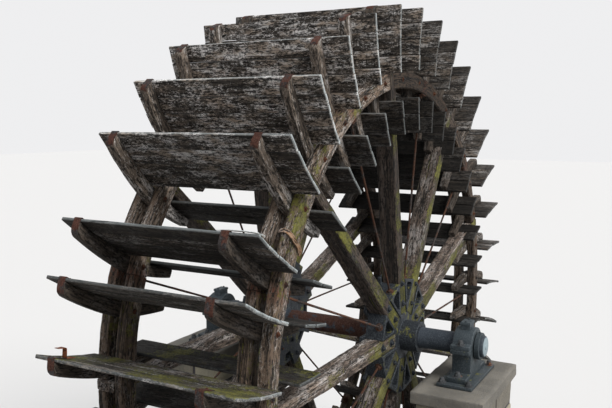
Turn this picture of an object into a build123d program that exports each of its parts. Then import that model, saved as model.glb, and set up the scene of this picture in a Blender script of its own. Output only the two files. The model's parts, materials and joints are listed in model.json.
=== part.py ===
from build123d import *
from math import atan, cos, degrees, hypot, pi, radians, sin, sqrt
import os

# Undershot mill wheel on two piers. Millimetres and degrees.
# X runs along the race, Y along the wheel shaft, Z up from the bed of the race.

# Wheel as a whole
tip_radius = 4000
tip_clearance = 180
paddle_count = 36
first_paddle_angle = 39.9
closing_angle = 13.0
drift_angle = 2.3
uneven_angles = {0: -0.5, 34: 0.7, 35: -1.0}

# Boards on each paddle: the concave face follows one shallow arc
board_thickness = 38
board_arc_radius = 3686
board_set_back = 63
paddle_reach = 750
outer_plank_count = 4
inner_plank_count = 2
inner_board_width = 400
inner_board_gap = 106
near_overhang = 286
far_overhang = 162

# Rims: two felloe rings each, sawn in flats, with the starts clamped in the slot between them
rim_width = 200
rim_flats_per_spoke = 6
rim_row_offset = 826
felloe_thickness = 124
felloe_joint = 2
board_to_rim = 6

# Starts, the curved timbers that carry the boards
start_thickness = 100
start_depth_tip = 125
start_depth_rim = 165
start_depth_tail = 90
start_nose_cut = 36

# Iron straps over the tips
strap_width = 84
strap_thickness = 6
strap_length = 150
strap_hook = 86

# Spokes
spoke_count = 9
spoke_lead_angle = 1.0
spoke_width_hub = 190
spoke_width_rim = 120
spoke_end_gap = 5
spoke_notch_clearance = 4

# Cast hubs
hub_radius = 780
hub_finger_length = 220
hub_plate_thickness = 40
hub_boss_margin = 8
hub_nose_radius = 190
hub_nose_length = 220
hub_back_length = 90
hub_socket_wall = 30
hub_socket_depth = 235
hub_wall_set_back = 80
hub_outer_wall = 35
hub_pocket_bevel = 44

# Tie rods from hub to rim, one between each pair of spokes
rod_radius = 15
rod_plate_inset = 4
rod_plate_thickness = 10

# Shaft: thickest in the hubs, a little thinner in the bearings and between the hubs
hub_seat_radius = 130
journal_step = 2
shaft_step = 15
shaft_tail = 37
end_collar_wall = 32
end_collar_length = 60
end_collar_gap = 10

# Plummer blocks
bearing_length = 230
bearing_clearance = 0.05
bearing_axle_height = 360
bearing_wall = 87
bearing_neck_inset = 5
bearing_lug_thickness = 55
bearing_lug_margin = 9
bearing_foot_thickness = 60
bearing_foot_margin = 24
oil_cup_radius = 45
oil_cup_height = 70
nut_radius = 36
nut_height = 30
cap_bolt_clearance = 4
foot_bolt_step = 40

# Sole plates and piers, each a margin larger than what stands on it
sole_margin_x = 90
sole_margin_y = 95
sole_thickness = 40
sole_bolt_inset = 52
cap_stone_margin_x = 290
cap_stone_margin_y = 220
cap_stone_thickness = 160
pier_ledge_x = 50
pier_ledge_y = 40
pier_batter = 70
pier_clearance = 178

# Places worked out from the sizes above
axle_height = tip_radius + tip_clearance
rim_outer_radius = tip_radius - paddle_reach
rim_inner_radius = rim_outer_radius - rim_width
board_arc_foot = rim_inner_radius + rim_width / 2
inner_boards_to = rim_inner_radius - inner_board_gap
inner_boards_from = inner_boards_to - inner_board_width
pitch = (360 - closing_angle) / (paddle_count - 1)
paddles_per_spoke = paddle_count // spoke_count
spoke_spacing = 360 / spoke_count
half_gap = radians(spoke_spacing / 2)
first_spoke_angle = first_paddle_angle + spoke_lead_angle
slot_outer = rim_row_offset + start_thickness / 2
slot_inner = rim_row_offset - start_thickness / 2
rim_outer_face = slot_outer + felloe_thickness
spoke_depth = rim_outer_face - slot_inner
rod_row = slot_outer + felloe_thickness / 2
rod_plate_size = felloe_thickness - 2 * rod_plate_inset
near_end = slot_outer + near_overhang
far_end = slot_outer + far_overhang
socket_corner = spoke_width_hub / 2 / sin(half_gap)
pocket_corner = (spoke_width_hub / 2 + hub_socket_wall) / sin(half_gap)
hub_boss_radius = socket_corner + hub_boss_margin
spoke_inner_radius = hub_boss_radius + spoke_end_gap
rod_outer_radius = rim_inner_radius * cos(radians(spoke_spacing / rim_flats_per_spoke / 2))
hub_plate_radius = hub_radius - hub_finger_length
hub_wall_reach = hub_radius - hub_wall_set_back
rod_inner_radius = hub_wall_reach
hub_front = rim_outer_face + hub_nose_length
hub_back = slot_inner - hub_back_length
shaft_radius = hub_seat_radius - shaft_step
journal_radius = hub_seat_radius - journal_step
bearing_body_radius = journal_radius + bearing_wall
bearing_neck_length = 2 * (bearing_body_radius - bearing_neck_inset)
cap_bolt_x = bearing_body_radius + cap_bolt_clearance + nut_radius
bearing_lug_length = 2 * (cap_bolt_x + nut_radius + bearing_lug_margin)
foot_bolt_x = bearing_lug_length / 2 + foot_bolt_step
bearing_foot_length = 2 * (foot_bolt_x + nut_radius + bearing_foot_margin)
sole_length = bearing_foot_length + 2 * sole_margin_x
sole_width = bearing_length + 2 * sole_margin_y
cap_stone_length = sole_length + 2 * cap_stone_margin_x
cap_stone_width = sole_width + 2 * cap_stone_margin_y
pier_length_top = cap_stone_length - 2 * pier_ledge_x
pier_width_top = cap_stone_width - 2 * pier_ledge_y
bearing_offset = max(near_end, far_end) + pier_clearance + pier_batter + pier_width_top / 2
collar_start = bearing_offset + bearing_length / 2 + end_collar_gap
shaft_end_offset = collar_start + end_collar_length + shaft_tail
end_collar_radius = journal_radius + end_collar_wall
sole_top = axle_height - bearing_axle_height
cap_stone_top = sole_top - sole_thickness
pier_top = cap_stone_top - cap_stone_thickness


def paddle_angle(index):
    """Angle of a paddle, up from the upstream side: the spacing drifts, and a few sit unevenly."""
    drift = drift_angle * sin(pi * index / (paddle_count - 1))
    return first_paddle_angle + index * pitch + drift + uneven_angles.get(index, 0)


paddle_angles = [paddle_angle(index) for index in range(paddle_count)]
spoke_angles = [first_spoke_angle + spoke_spacing * index for index in range(spoke_count)]
rod_angles = [angle + spoke_spacing / 2 for angle in spoke_angles]


def wheel_plane(y):
    """Plane across the shaft, its first axis upstream and its second axis up."""
    return Plane(origin=(0, y, axle_height), x_dir=(-1, 0, 0), z_dir=(0, 1, 0))


def turned(angles):
    """Places for a profile that is drawn along the first axis of a wheel plane."""
    return [Location((0, 0, 0), (0, 0, angle)) for angle in angles]


def board_point(radius, depth):
    """Point on the arc that lies the given depth behind the concave face of the boards."""
    arc = board_arc_radius + depth
    rise = sqrt(arc**2 - (radius - board_arc_foot) ** 2)
    return (radius, board_arc_radius - board_set_back - rise)


def plank_edges(start, end, count):
    """Radii of the plank edges from start to end."""
    return [start + (end - start) * step / count for step in range(count + 1)]


def board_points(start, end, count):
    """Outline of one row of planks, each plank a straight piece of the arc."""
    edges = plank_edges(start, end, count)
    front = [board_point(edge, 0) for edge in edges]
    back = [board_point(edge, board_thickness) for edge in reversed(edges)]
    return front + back


os.makedirs("parts", exist_ok=True)

# Profiles drawn once along the first axis of the wheel plane
outer_boards_from = rim_outer_radius + board_to_rim
outer_edges = plank_edges(outer_boards_from, tip_radius, outer_plank_count)
inner_edges = plank_edges(inner_boards_from, inner_boards_to, inner_plank_count)

with BuildSketch() as outer_profile:
    with BuildLine():
        Polyline(*board_points(outer_boards_from, tip_radius, outer_plank_count), close=True)
    make_face()

with BuildSketch() as inner_profile:
    with BuildLine():
        Polyline(*board_points(inner_boards_from, inner_boards_to, inner_plank_count), close=True)
    make_face()

# Start: flats under the planks above, a bow below that is deepest in the rim, and a cut nose
def start_low_point(radius):
    """Point on the underside of a start: its depth falls off on both sides of the rim."""
    if radius > board_arc_foot:
        share = (radius - board_arc_foot) / (tip_radius - board_arc_foot)
        depth = start_depth_rim + (start_depth_tip - start_depth_rim) * share
    else:
        share = (board_arc_foot - radius) / (board_arc_foot - inner_boards_from)
        depth = start_depth_rim + (start_depth_tail - start_depth_rim) * share
    top = board_point(radius, board_thickness)
    return (radius, top[1] - depth)


start_top_radii = inner_edges + outer_edges
start_low_radii = [tip_radius - start_nose_cut, outer_edges[2], board_arc_foot, inner_boards_from]
start_nose = (tip_radius, start_low_point(tip_radius)[1] + start_nose_cut)

with BuildSketch() as start_profile:
    with BuildLine():
        Polyline(
            *[board_point(radius, board_thickness) for radius in start_top_radii],
            start_nose,
            *[start_low_point(radius) for radius in start_low_radii],
            close=True,
        )
    make_face()

# Strap: lies on the last plank, turns over the tip and hooks down the nose
plank_end = board_point(tip_radius, 0)
plank_start = board_point(outer_edges[-2], 0)
plank_length = hypot(plank_end[0] - plank_start[0], plank_end[1] - plank_start[1])
along = ((plank_end[0] - plank_start[0]) / plank_length, (plank_end[1] - plank_start[1]) / plank_length)
tip_back = board_point(tip_radius, board_thickness)


def on_plank(back_from_tip, height):
    """Point measured back from the tip along the last plank and up from its face."""
    return (
        plank_end[0] - along[0] * back_from_tip - along[1] * height,
        plank_end[1] - along[1] * back_from_tip + along[0] * height,
    )


with BuildSketch() as strap_profile:
    with BuildLine():
        Polyline(
            plank_end,
            on_plank(strap_length, 0),
            on_plank(strap_length, strap_thickness),
            (tip_radius + strap_thickness, plank_end[1] + strap_thickness),
            (tip_radius + strap_thickness, tip_back[1] - strap_hook),
            (tip_radius, tip_back[1] - strap_hook),
            close=True,
        )
    make_face()

# Spoke: straight in its socket, then tapering to the rim
with BuildSketch() as spoke_profile:
    with BuildLine():
        Polyline(
            (spoke_inner_radius, -spoke_width_hub / 2),
            (hub_radius, -spoke_width_hub / 2),
            (rim_outer_radius, -spoke_width_rim / 2),
            (rim_outer_radius, spoke_width_rim / 2),
            (hub_radius, spoke_width_hub / 2),
            (spoke_inner_radius, spoke_width_hub / 2),
            close=True,
        )
    make_face()


def gap_wedge(corner, end):
    """Wedge between two spokes, from its corner out to a flat end."""
    half = (end - corner) * sin(half_gap) / cos(half_gap)
    return [(corner, 0), (end, -half), (end, half)]


# Hub wall in the gap between two spokes, closed outside, and the bevelled pocket inside it
with BuildSketch() as pocket_profile:
    with BuildLine():
        Polyline(*gap_wedge(pocket_corner, hub_wall_reach - hub_outer_wall), close=True)
    make_face()
    chamfer(pocket_profile.vertices(), length=hub_pocket_bevel)

with BuildSketch() as hub_wall_profile:
    with BuildLine():
        Polyline(*gap_wedge(socket_corner, hub_wall_reach), close=True)
    make_face()
    add(pocket_profile.sketch, mode=Mode.SUBTRACT)

# Spokes' seats: what a start or a board leaves free round each spoke
with BuildSketch() as notch_profile:
    add(spoke_profile.sketch)
    offset(amount=spoke_notch_clearance, kind=Kind.INTERSECTION)

with BuildPart() as spoke_notches:
    with BuildSketch(
        wheel_plane(-rim_outer_face - spoke_notch_clearance),
        wheel_plane(slot_inner - spoke_notch_clearance),
    ):
        with Locations(turned(spoke_angles)):
            add(notch_profile.sketch)
    extrude(amount=spoke_depth + 2 * spoke_notch_clearance)

# Starts in the slots of both rims, and the straps over their tips
with BuildPart() as starts_near:
    with BuildSketch(wheel_plane(-slot_outer)):
        with Locations(turned(paddle_angles)):
            add(start_profile.sketch)
    extrude(amount=start_thickness)
    add(spoke_notches.part, mode=Mode.SUBTRACT)

with BuildPart() as tip_straps_near:
    with BuildSketch(wheel_plane(-rim_row_offset - strap_width / 2)):
        with Locations(turned(paddle_angles)):
            add(strap_profile.sketch)
    extrude(amount=strap_width)

# Spokes: flush with the outer face of the rim, filling its slot
with BuildPart() as spokes_near:
    with BuildSketch(wheel_plane(-rim_outer_face)):
        with Locations(turned(spoke_angles)):
            add(spoke_profile.sketch)
    extrude(amount=spoke_depth)

# Outer ring of felloes: each butts against the spokes at its two ends
rim_flats = spoke_count * rim_flats_per_spoke
rim_turn = first_spoke_angle + spoke_spacing / rim_flats_per_spoke / 2

with BuildPart() as outer_felloes_near:
    with BuildSketch(wheel_plane(-rim_outer_face)):
        RegularPolygon(rim_outer_radius, rim_flats, rotation=rim_turn)
        RegularPolygon(rim_inner_radius, rim_flats, rotation=rim_turn, mode=Mode.SUBTRACT)
        with Locations(turned(spoke_angles)):
            add(spoke_profile.sketch, mode=Mode.SUBTRACT)
    extrude(amount=felloe_thickness)

# Inner ring of felloes: runs behind the spokes, with its joints half way between them
with BuildPart() as inner_felloes_near:
    with BuildSketch(wheel_plane(-slot_inner)):
        RegularPolygon(rim_outer_radius, rim_flats, rotation=rim_turn)
        RegularPolygon(rim_inner_radius, rim_flats, rotation=rim_turn, mode=Mode.SUBTRACT)
        with PolarLocations((rim_inner_radius + rim_outer_radius) / 2, spoke_count, rod_angles[0]):
            Rectangle(2 * rim_outer_radius - 2 * rim_inner_radius, felloe_joint, mode=Mode.SUBTRACT)
    extrude(amount=felloe_thickness)

# Boards: outer rows from rim to tip, inner rows notched where a spoke stands in their way
outer_boards = []
inner_boards = []
for sector in range(spoke_count):
    sector_angles = paddle_angles[sector * paddles_per_spoke : (sector + 1) * paddles_per_spoke]

    with BuildPart() as outer_sector:
        with BuildSketch(wheel_plane(-near_end)):
            with Locations(turned(sector_angles)):
                add(outer_profile.sketch)
        extrude(amount=near_end + far_end)
    outer_boards.append(outer_sector.part)

    with BuildPart() as inner_sector:
        with BuildSketch(wheel_plane(-near_end)):
            with Locations(turned(sector_angles)):
                add(inner_profile.sketch)
        extrude(amount=near_end + far_end)
        add(spoke_notches.part, mode=Mode.SUBTRACT)
    inner_boards.append(inner_sector.part)


def radial_plane(angle, radius, y):
    """Plane square to the radius at the given angle, looking outwards."""
    out = (-cos(radians(angle)), 0, sin(radians(angle)))
    return Plane(origin=(out[0] * radius, y, axle_height + out[2] * radius), x_dir=(0, 1, 0), z_dir=out)


# Tie rods: from the outer wall of a hub pocket to a square plate against the rim
with BuildPart() as tie_rods_near:
    for angle in rod_angles:
        with BuildSketch(radial_plane(angle, rod_inner_radius, -rod_row)):
            RegularPolygon(rod_radius, 6)
        extrude(amount=rod_outer_radius - rod_inner_radius)
        with BuildSketch(radial_plane(angle, rod_outer_radius - rod_plate_thickness, -rod_row)):
            Rectangle(rod_plate_size, rod_plate_size)
        extrude(amount=rod_plate_thickness)

# Cast hub: boss and nose, fingered plate behind the spokes, and a walled pocket in each gap
with BuildPart() as hub_near:
    with BuildSketch(wheel_plane(-slot_inner)):
        RegularPolygon(hub_plate_radius, spoke_count, rotation=first_spoke_angle)
        with Locations(turned(spoke_angles)):
            Rectangle(
                hub_radius,
                spoke_width_hub + 2 * hub_socket_wall,
                align=(Align.MIN, Align.CENTER),
            )
    extrude(amount=hub_plate_thickness)
    with BuildSketch(wheel_plane(-slot_inner)):
        with Locations(turned(rod_angles)):
            add(hub_wall_profile.sketch)
    extrude(amount=-hub_socket_depth)
    with BuildSketch(wheel_plane(-rim_outer_face)):
        RegularPolygon(
            hub_boss_radius, spoke_count, major_radius=False, rotation=first_spoke_angle + spoke_spacing / 2
        )
    extrude(amount=spoke_depth + hub_back_length)
    with BuildSketch(wheel_plane(-rim_outer_face - hub_nose_length)):
        Circle(hub_nose_radius)
    extrude(amount=hub_nose_length)
    with BuildSketch(wheel_plane(-rim_outer_face - hub_nose_length)):
        Circle(hub_seat_radius)
    extrude(amount=hub_nose_length + spoke_depth + hub_back_length, mode=Mode.SUBTRACT)

# Shaft: plain between the hubs, thicker seats in them, turned journals and a loose end
with BuildPart() as shaft:
    with BuildSketch(wheel_plane(-shaft_end_offset)):
        Circle(journal_radius)
    extrude(amount=2 * shaft_end_offset)
    with BuildSketch(wheel_plane(-hub_back)):
        Circle(journal_radius)
        Circle(shaft_radius, mode=Mode.SUBTRACT)
    extrude(amount=2 * hub_back, mode=Mode.SUBTRACT)
    with BuildSketch(wheel_plane(-hub_front), wheel_plane(hub_back)):
        Circle(hub_seat_radius)
    extrude(amount=hub_front - hub_back)

with BuildPart() as end_collars:
    with BuildSketch(wheel_plane(-collar_start - end_collar_length), wheel_plane(collar_start)):
        Circle(end_collar_radius)
        Circle(journal_radius, mode=Mode.SUBTRACT)
    extrude(amount=end_collar_length)

# Plummer block: the base carries the lower half of the bore, the cap the upper half
bearing_bore_radius = journal_radius + bearing_clearance
bearing_side = -bearing_offset - bearing_length / 2

with BuildPart() as bearing_base_near:
    with BuildSketch(wheel_plane(bearing_side)):
        Circle(bearing_body_radius)
        with Locations((0, -bearing_lug_thickness / 2)):
            Rectangle(bearing_lug_length, bearing_lug_thickness)
        with Locations((0, -bearing_axle_height)):
            Rectangle(
                bearing_foot_length, bearing_foot_thickness, align=(Align.CENTER, Align.MIN)
            )
            Rectangle(bearing_neck_length, bearing_axle_height, align=(Align.CENTER, Align.MIN))
        Rectangle(
            bearing_foot_length, bearing_foot_length, align=(Align.CENTER, Align.MIN), mode=Mode.SUBTRACT
        )
        Circle(bearing_bore_radius, mode=Mode.SUBTRACT)
    extrude(amount=bearing_length)

with BuildPart() as bearing_cap_near:
    with BuildSketch(wheel_plane(bearing_side)):
        Circle(bearing_body_radius)
        with Locations((0, bearing_lug_thickness / 2)):
            Rectangle(bearing_lug_length, bearing_lug_thickness)
        Rectangle(
            bearing_foot_length, bearing_foot_length, align=(Align.CENTER, Align.MAX), mode=Mode.SUBTRACT
        )
        Circle(bearing_bore_radius, mode=Mode.SUBTRACT)
    extrude(amount=bearing_length)
    with BuildSketch(Plane.XY.offset(axle_height + (bearing_body_radius + bearing_bore_radius) / 2)):
        with Locations((0, -bearing_offset)):
            RegularPolygon(oil_cup_radius, 8)
    extrude(amount=(bearing_body_radius - bearing_bore_radius) / 2 + oil_cup_height)

# Nuts on the cap, on the foot and at the corners of the sole plate
sole_bolt_x = sole_length / 2 - sole_bolt_inset
sole_bolt_y = sole_width / 2 - sole_bolt_inset
nut_rows = [
    (axle_height + bearing_lug_thickness, cap_bolt_x, [0]),
    (sole_top + bearing_foot_thickness, foot_bolt_x, [0]),
    (sole_top, sole_bolt_x, [-sole_bolt_y, sole_bolt_y]),
]
with BuildPart() as bearing_bolts_near:
    for seat, reach, rows in nut_rows:
        places = [(side * reach, row - bearing_offset) for side in (-1, 1) for row in rows]
        with BuildSketch(Plane.XY.offset(seat)):
            with Locations(places):
                RegularPolygon(nut_radius, 6)
        extrude(amount=nut_height)

# Sole plate, cap stone and battered pier
with BuildPart() as sole_plate_near:
    with BuildSketch(Plane.XY.offset(cap_stone_top)):
        with Locations((0, -bearing_offset)):
            Rectangle(sole_length, sole_width)
    extrude(amount=sole_thickness)

with BuildPart() as cap_stone_near:
    with BuildSketch(Plane.XY.offset(pier_top)):
        with Locations((0, -bearing_offset)):
            Rectangle(cap_stone_length, cap_stone_width)
    extrude(amount=cap_stone_thickness)

with BuildPart() as pier_near:
    with BuildSketch(Plane.XY):
        with Locations((0, -bearing_offset)):
            Rectangle(pier_length_top + 2 * pier_batter, pier_width_top + 2 * pier_batter)
    extrude(amount=pier_top, taper=degrees(atan(pier_batter / pier_top)))

# The far side mirrors the near side
near_pieces = {
    "pier": pier_near.part,
    "cap_stone": cap_stone_near.part,
    "sole_plate": sole_plate_near.part,
    "bearing_base": bearing_base_near.part,
    "bearing_cap": bearing_cap_near.part,
    "bearing_bolts": bearing_bolts_near.part,
    "hub": hub_near.part,
    "spokes": spokes_near.part,
    "tie_rods": tie_rods_near.part,
    "outer_felloes": outer_felloes_near.part,
    "inner_felloes": inner_felloes_near.part,
    "starts": starts_near.part,
    "tip_straps": tip_straps_near.part,
}
pieces = {"shaft": shaft.part, "end_collars": end_collars.part}
for name, near_part in near_pieces.items():
    with BuildPart() as far_piece:
        mirror(near_part, about=Plane.XZ)
    pieces[f"{name}_near"] = near_part
    pieces[f"{name}_far"] = far_piece.part
for sector in range(spoke_count):
    pieces[f"outer_boards_{sector + 1}"] = outer_boards[sector]
    pieces[f"inner_boards_{sector + 1}"] = inner_boards[sector]

for name, piece in pieces.items():
    piece.label = name
    export_step(piece, f"parts/{name}.step")
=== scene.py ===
import json
import random
from math import asin, cos, pi, radians, sin, sqrt
from typing import NamedTuple

import bmesh
import bpy
from bpy.props import FloatProperty, FloatVectorProperty, IntProperty, PointerProperty
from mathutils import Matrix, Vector, noise


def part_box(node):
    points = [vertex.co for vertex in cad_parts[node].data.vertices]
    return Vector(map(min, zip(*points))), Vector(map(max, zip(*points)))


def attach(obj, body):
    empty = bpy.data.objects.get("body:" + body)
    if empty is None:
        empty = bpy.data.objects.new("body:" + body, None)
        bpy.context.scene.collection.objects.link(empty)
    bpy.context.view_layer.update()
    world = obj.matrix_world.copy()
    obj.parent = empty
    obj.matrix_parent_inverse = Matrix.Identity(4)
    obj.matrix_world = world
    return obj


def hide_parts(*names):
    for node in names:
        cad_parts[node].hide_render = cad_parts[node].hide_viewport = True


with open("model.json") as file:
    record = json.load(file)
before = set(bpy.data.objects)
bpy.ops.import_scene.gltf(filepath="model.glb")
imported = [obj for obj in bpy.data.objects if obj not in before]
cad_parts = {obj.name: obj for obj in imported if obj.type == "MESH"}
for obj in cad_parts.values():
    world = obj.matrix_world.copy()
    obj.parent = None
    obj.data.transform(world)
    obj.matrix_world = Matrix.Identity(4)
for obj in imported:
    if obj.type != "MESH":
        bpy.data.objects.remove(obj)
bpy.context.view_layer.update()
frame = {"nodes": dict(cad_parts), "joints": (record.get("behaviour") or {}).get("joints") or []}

bl_info = {
    "name": "Undershot Mill Wheel",
    "version": (1, 0, 0),
    "blender": (4, 5, 0),
    "location": "View3D > Sidebar > Mill Wheel",
    "description": "Builds a weathered oak mill wheel with iron hubs on two masonry piers",
    "category": "Add Mesh",
}

SIDES = ("near", "far")
WHEEL = "wheel"
PIERS = "piers"
AXLE = Vector(frame["joints"][0]["pos_m"])
ALONG_SHAFT = Vector((0.0, 1.0, 0.0))
ACROSS_WHEEL = Vector((1.0, 0.0, 0.0))
UP = Vector((0.0, 0.0, 1.0))

# Paddles that sit off their place, in degrees, and the two that have damage of their own.
UNEVEN_PADDLES = {0: -0.5, 34: 0.7, 35: -1.0}
MOSSY_PADDLE = 33
SPLIT_PADDLE = 35
OCHRE_ROD = 8

# Values on every point of a mesh, which the materials read.
LAYERS = ("tint", "bare", "stain", "green")

# Counts, and sizes in metres that no setting holds. Nuts are sunk a little into their face.
PADDLES_IN_SECTOR = 4
OUTER_ROWS = 4
INNER_ROWS = 2
SUNK = 0.001
ARRIS = 0.004
PLANK_END_PLAY = 0.012
PLANK_ARRIS = 0.003
PLANK_BOW = 0.003
PLANK_EDGE_BLEACH = 0.15
MOSSY_PADDLE_GREEN = 0.46
SPOKE_SEAT_PLAY = 0.010
SPOKE_SEAT_MIDDLE = 2.5
START_NOSE = 0.055
START_SHORT_OF_TIP = 0.002
SPOKE_FOOT_GREEN = 0.24
SPOKE_FOOT_REACH = 1.0
FELLOE_STAIN_REACH = 0.11
ROD_INTO_WALL = 0.010
ROD_SHORT_OF_RIM = 0.004
ROD_PLATE_REACH = 0.081
ROD_PLATE_DEPTH = 0.010
OCHRE_TINT = 2.0
HUB_BOLT_RADII = (0.42, 0.68)
HUB_BACK_PLATE = 0.040
HUB_NUT_SUNK = 0.004
SEAT_RADIUS, PLAIN_RADIUS, JOURNAL_RADIUS = 0.130, 0.115, 0.128
COLLAR_INNER_FACE = 1.925
COLLAR_BORE, COLLAR_EDGE, COLLAR_RADIUS = 0.1285, 0.153, 0.160
CAP_NUT_IN, CAP_NUT_UP = 0.045, 0.055
BASE_NUT_IN, BASE_NUT_UP = 0.060, 0.060
SOLE_NUT_IN = 0.052
LID_HALF_LENGTH, LID_HALF_WIDTH, LID_DEPTH = 0.095, 0.060, 0.085
PIER_BATTER = 0.070
PIER_COURSES = 11
STONE_JOINT = 0.011
CORE_INSET = 0.028
CORE_TINT = -0.45
SLIVER_HALF_WIDTH, SLIVER_HALF_THICK = 0.022, 0.011

# Tones by angle in degrees, up from the upstream side: each holds from its angle on. The plank,
# start and felloe tones are real tone with painted light and shade: darker on the shaded side of
# the wheel, lighter where the light falls.
# Pale tips and plank ends: bleached wood with a painted highlight, paler where the light falls.
TIP_BLEACH_AND_HIGHLIGHT = ((0, 0.2), (20, 0.55), (36, 0.3), (100, 0.15))
EDGE_BLEACH_AND_HIGHLIGHT = ((0, 0.55), (15, 1.0), (36, 0.75), (80, 0.5), (100, 0.3), (300, 0.5))
PLANK_TONE_AND_PAINTED_LIGHT = (
    (0, -0.4), (10, -0.55), (30, 0.15), (45, 1.2), (56, 0.8), (66, 0.55), (76, 0.1), (84, 0.1),
    (95, -0.45), (115, -0.65), (190, -0.4), (300, -0.3),
)
START_TONE_AND_PAINTED_LIGHT = ((0, -0.65), (30, 0.45), (80, -0.5), (200, -0.3), (300, -0.5))
FELLOE_TONE_AND_PAINTED_LIGHT = ((0, -0.4), (18, 0.05), (62, -0.2), (75, -1.05), (160, -0.6), (300, -0.35))
FELLOE_GREEN = ((0, -0.03), (40, -0.08), (75, -0.35), (200, 0.0))

# Tones spoke by spoke, with painted light and shade: lit spokes lighter, shaded ones darker.
SPOKE_TONE_AND_PAINTED_LIGHT = (-0.6, -0.9, -0.25, 0.1, 0.0, -0.3, -0.3, -0.3, 0.3)
SPOKE_GREEN = (-0.05, 0.0, 0.0, 0.0, 0.04, 0.0, 0.0, 0.0, -0.14)

CRACK_DARK = (0.004, 0.0035, 0.003, 1.0)
RUST_STAIN = (0.13, 0.036, 0.020, 1.0)
CHALKED_PAINT = (0.28, 0.31, 0.33, 1.0)
WORN_IRON = (0.095, 0.11, 0.12, 1.0)
WARM_STONE = (0.42, 0.38, 0.30, 1.0)
GREY_STONE = (0.16, 0.15, 0.13, 1.0)
DAMP_STONE = (0.07, 0.07, 0.055, 1.0)
SOFT_SKY = (0.93, 0.96, 1.0, 1.0)
PALE_BACKDROP = (0.86, 0.86, 0.87, 1.0)
FLOOR_IN_BOUNCE = (0.16, 0.16, 0.16, 1.0)


def length(name, description, default):
    """A size in metres."""
    return FloatProperty(
        name=name, description=description, default=default, min=0.0, unit="LENGTH", precision=4
    )


def angle_between(name, description, degrees):
    """An angle, given in degrees."""
    return FloatProperty(
        name=name, description=description, default=radians(degrees), subtype="ANGLE"
    )


def colour(name, description, default):
    """A colour in linear values."""
    return FloatVectorProperty(
        name=name, description=description, default=default, size=3, min=0.0, max=1.0,
        subtype="COLOR",
    )


def share(name, description, default):
    """A share between nothing and all."""
    return FloatProperty(
        name=name, description=description, default=default, min=0.0, max=1.0, subtype="FACTOR"
    )


class WheelSizes(bpy.types.PropertyGroup):
    tip_radius: length("Tip radius", "From the shaft's axis to a paddle's tip", 4.0)
    paddle_count: IntProperty(name="Paddles", description="Number of paddles", default=36, min=4)
    first_angle: angle_between("First paddle", "Angle of the first paddle", 39.9)
    closing_gap: angle_between("Closing gap", "Gap left before the first paddle", 13.0)
    spacing_drift: angle_between("Spacing drift", "How far the spacing runs ahead", 2.3)
    spoke_count: IntProperty(name="Spokes", description="Spokes on each side", default=9, min=3)
    spoke_lead: angle_between("Spoke lead", "First spoke ahead of the first paddle", 1.0)
    plank_thickness: length("Plank thickness", "Thickness of the paddle planks", 0.038)
    plank_gap: length("Plank gap", "Gap between two planks", 0.004)
    arc_radius: length("Paddle arc", "Radius of the paddles' curve", 3.686)
    arc_foot: length("Arc foot", "Radius at which the paddles run true", 3.150)
    set_back: length("Set back", "Paddle face behind its radius at the foot", 0.063)
    outer_from: length("Outer planks from", "Inner edge of the outer planks", 3.256)
    inner_from: length("Inner planks from", "Inner edge of the inner planks", 2.544)
    inner_to: length("Inner planks to", "Outer edge of the inner planks", 2.944)
    rim_inner: length("Rim inside", "Inner radius of the rims", 3.050)
    rim_outer: length("Rim outside", "Outer radius of the rims", 3.250)
    start_tip_depth: length("Start at tip", "Depth of a start at its nose", 0.125)
    start_rim_depth: length("Start at rim", "Depth of a start in the rim", 0.165)
    start_tail_depth: length("Start at tail", "Depth of a start at its tail", 0.090)
    spoke_hub_width: length("Spoke at hub", "Width of a spoke in its socket", 0.190)
    spoke_rim_width: length("Spoke at rim", "Width of a spoke at the rim", 0.120)
    hub_radius: length("Hub radius", "Reach of the hub's sockets", 0.780)
    hub_wall: length("Hub wall", "Outer face of the walls between the sockets", 0.700)
    spoke_inner: length("Spoke foot", "Inner end of the spokes", 0.291)
    rod_radius: length("Rod radius", "Radius of a tie rod", 0.0125)
    strap_width: length("Strap width", "Width of the tip straps", 0.080)
    strap_thickness: length("Strap thickness", "Thickness of the tip straps", 0.006)


class WheelColours(bpy.types.PropertyGroup):
    oak_dark: colour("Oak, dark", "Soaked oak in the grain", (0.0085, 0.0075, 0.0065))
    oak_brown: colour("Oak, brown", "Oak between the streaks", (0.070, 0.0585, 0.0485))
    oak_silver: colour("Oak, silver", "Sun-bleached flecks", (0.64, 0.61, 0.585))
    oak_tan: colour("Oak, tan", "Flecks of dry wood", (0.305, 0.245, 0.195))
    # Pale edges: bleached oak with a painted highlight of the sky's light.
    oak_bare_and_highlight: colour("Oak, bare edge", "Bleached edges of the planks", (0.60, 0.66, 0.67))
    moss_dark: colour("Moss, dark", "Shaded moss", (0.036, 0.038, 0.009))
    moss_light: colour("Moss, light", "Fresh moss", (0.21, 0.205, 0.040))
    iron_dark: colour("Iron, dark", "Old paint on the castings", (0.012, 0.015, 0.020))
    iron_grey: colour("Iron, grey", "Worn paint on the bearings", (0.030, 0.040, 0.046))
    rust_dark: colour("Rust, dark", "Old rust", (0.040, 0.015, 0.010))
    rust_light: colour("Rust, light", "Fresh rust", (0.26, 0.095, 0.035))
    stone: colour("Stone", "Sandstone of the piers", (0.30, 0.27, 0.22))


class StageSettings(bpy.types.PropertyGroup):
    lens: FloatProperty(
        name="Lens", description="Focal length", default=43.47, min=1.0, unit="CAMERA"
    )
    eye: FloatVectorProperty(
        name="Eye", description="Where the camera stands", default=(-8.480, -4.287, 6.856),
        subtype="XYZ",
    )
    look: FloatVectorProperty(
        name="Look", description="Which way the camera looks", default=(0.8692, 0.4813, -0.1133),
        subtype="XYZ",
    )
    sky: share("Sky", "Strength of the soft light from all round", 0.62)
    sun: FloatProperty(
        name="Sun", description="Strength of the soft main light", default=2.9, min=0.0
    )
    floor: colour("Floor", "Pale floor", (0.74, 0.73, 0.72))


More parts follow.
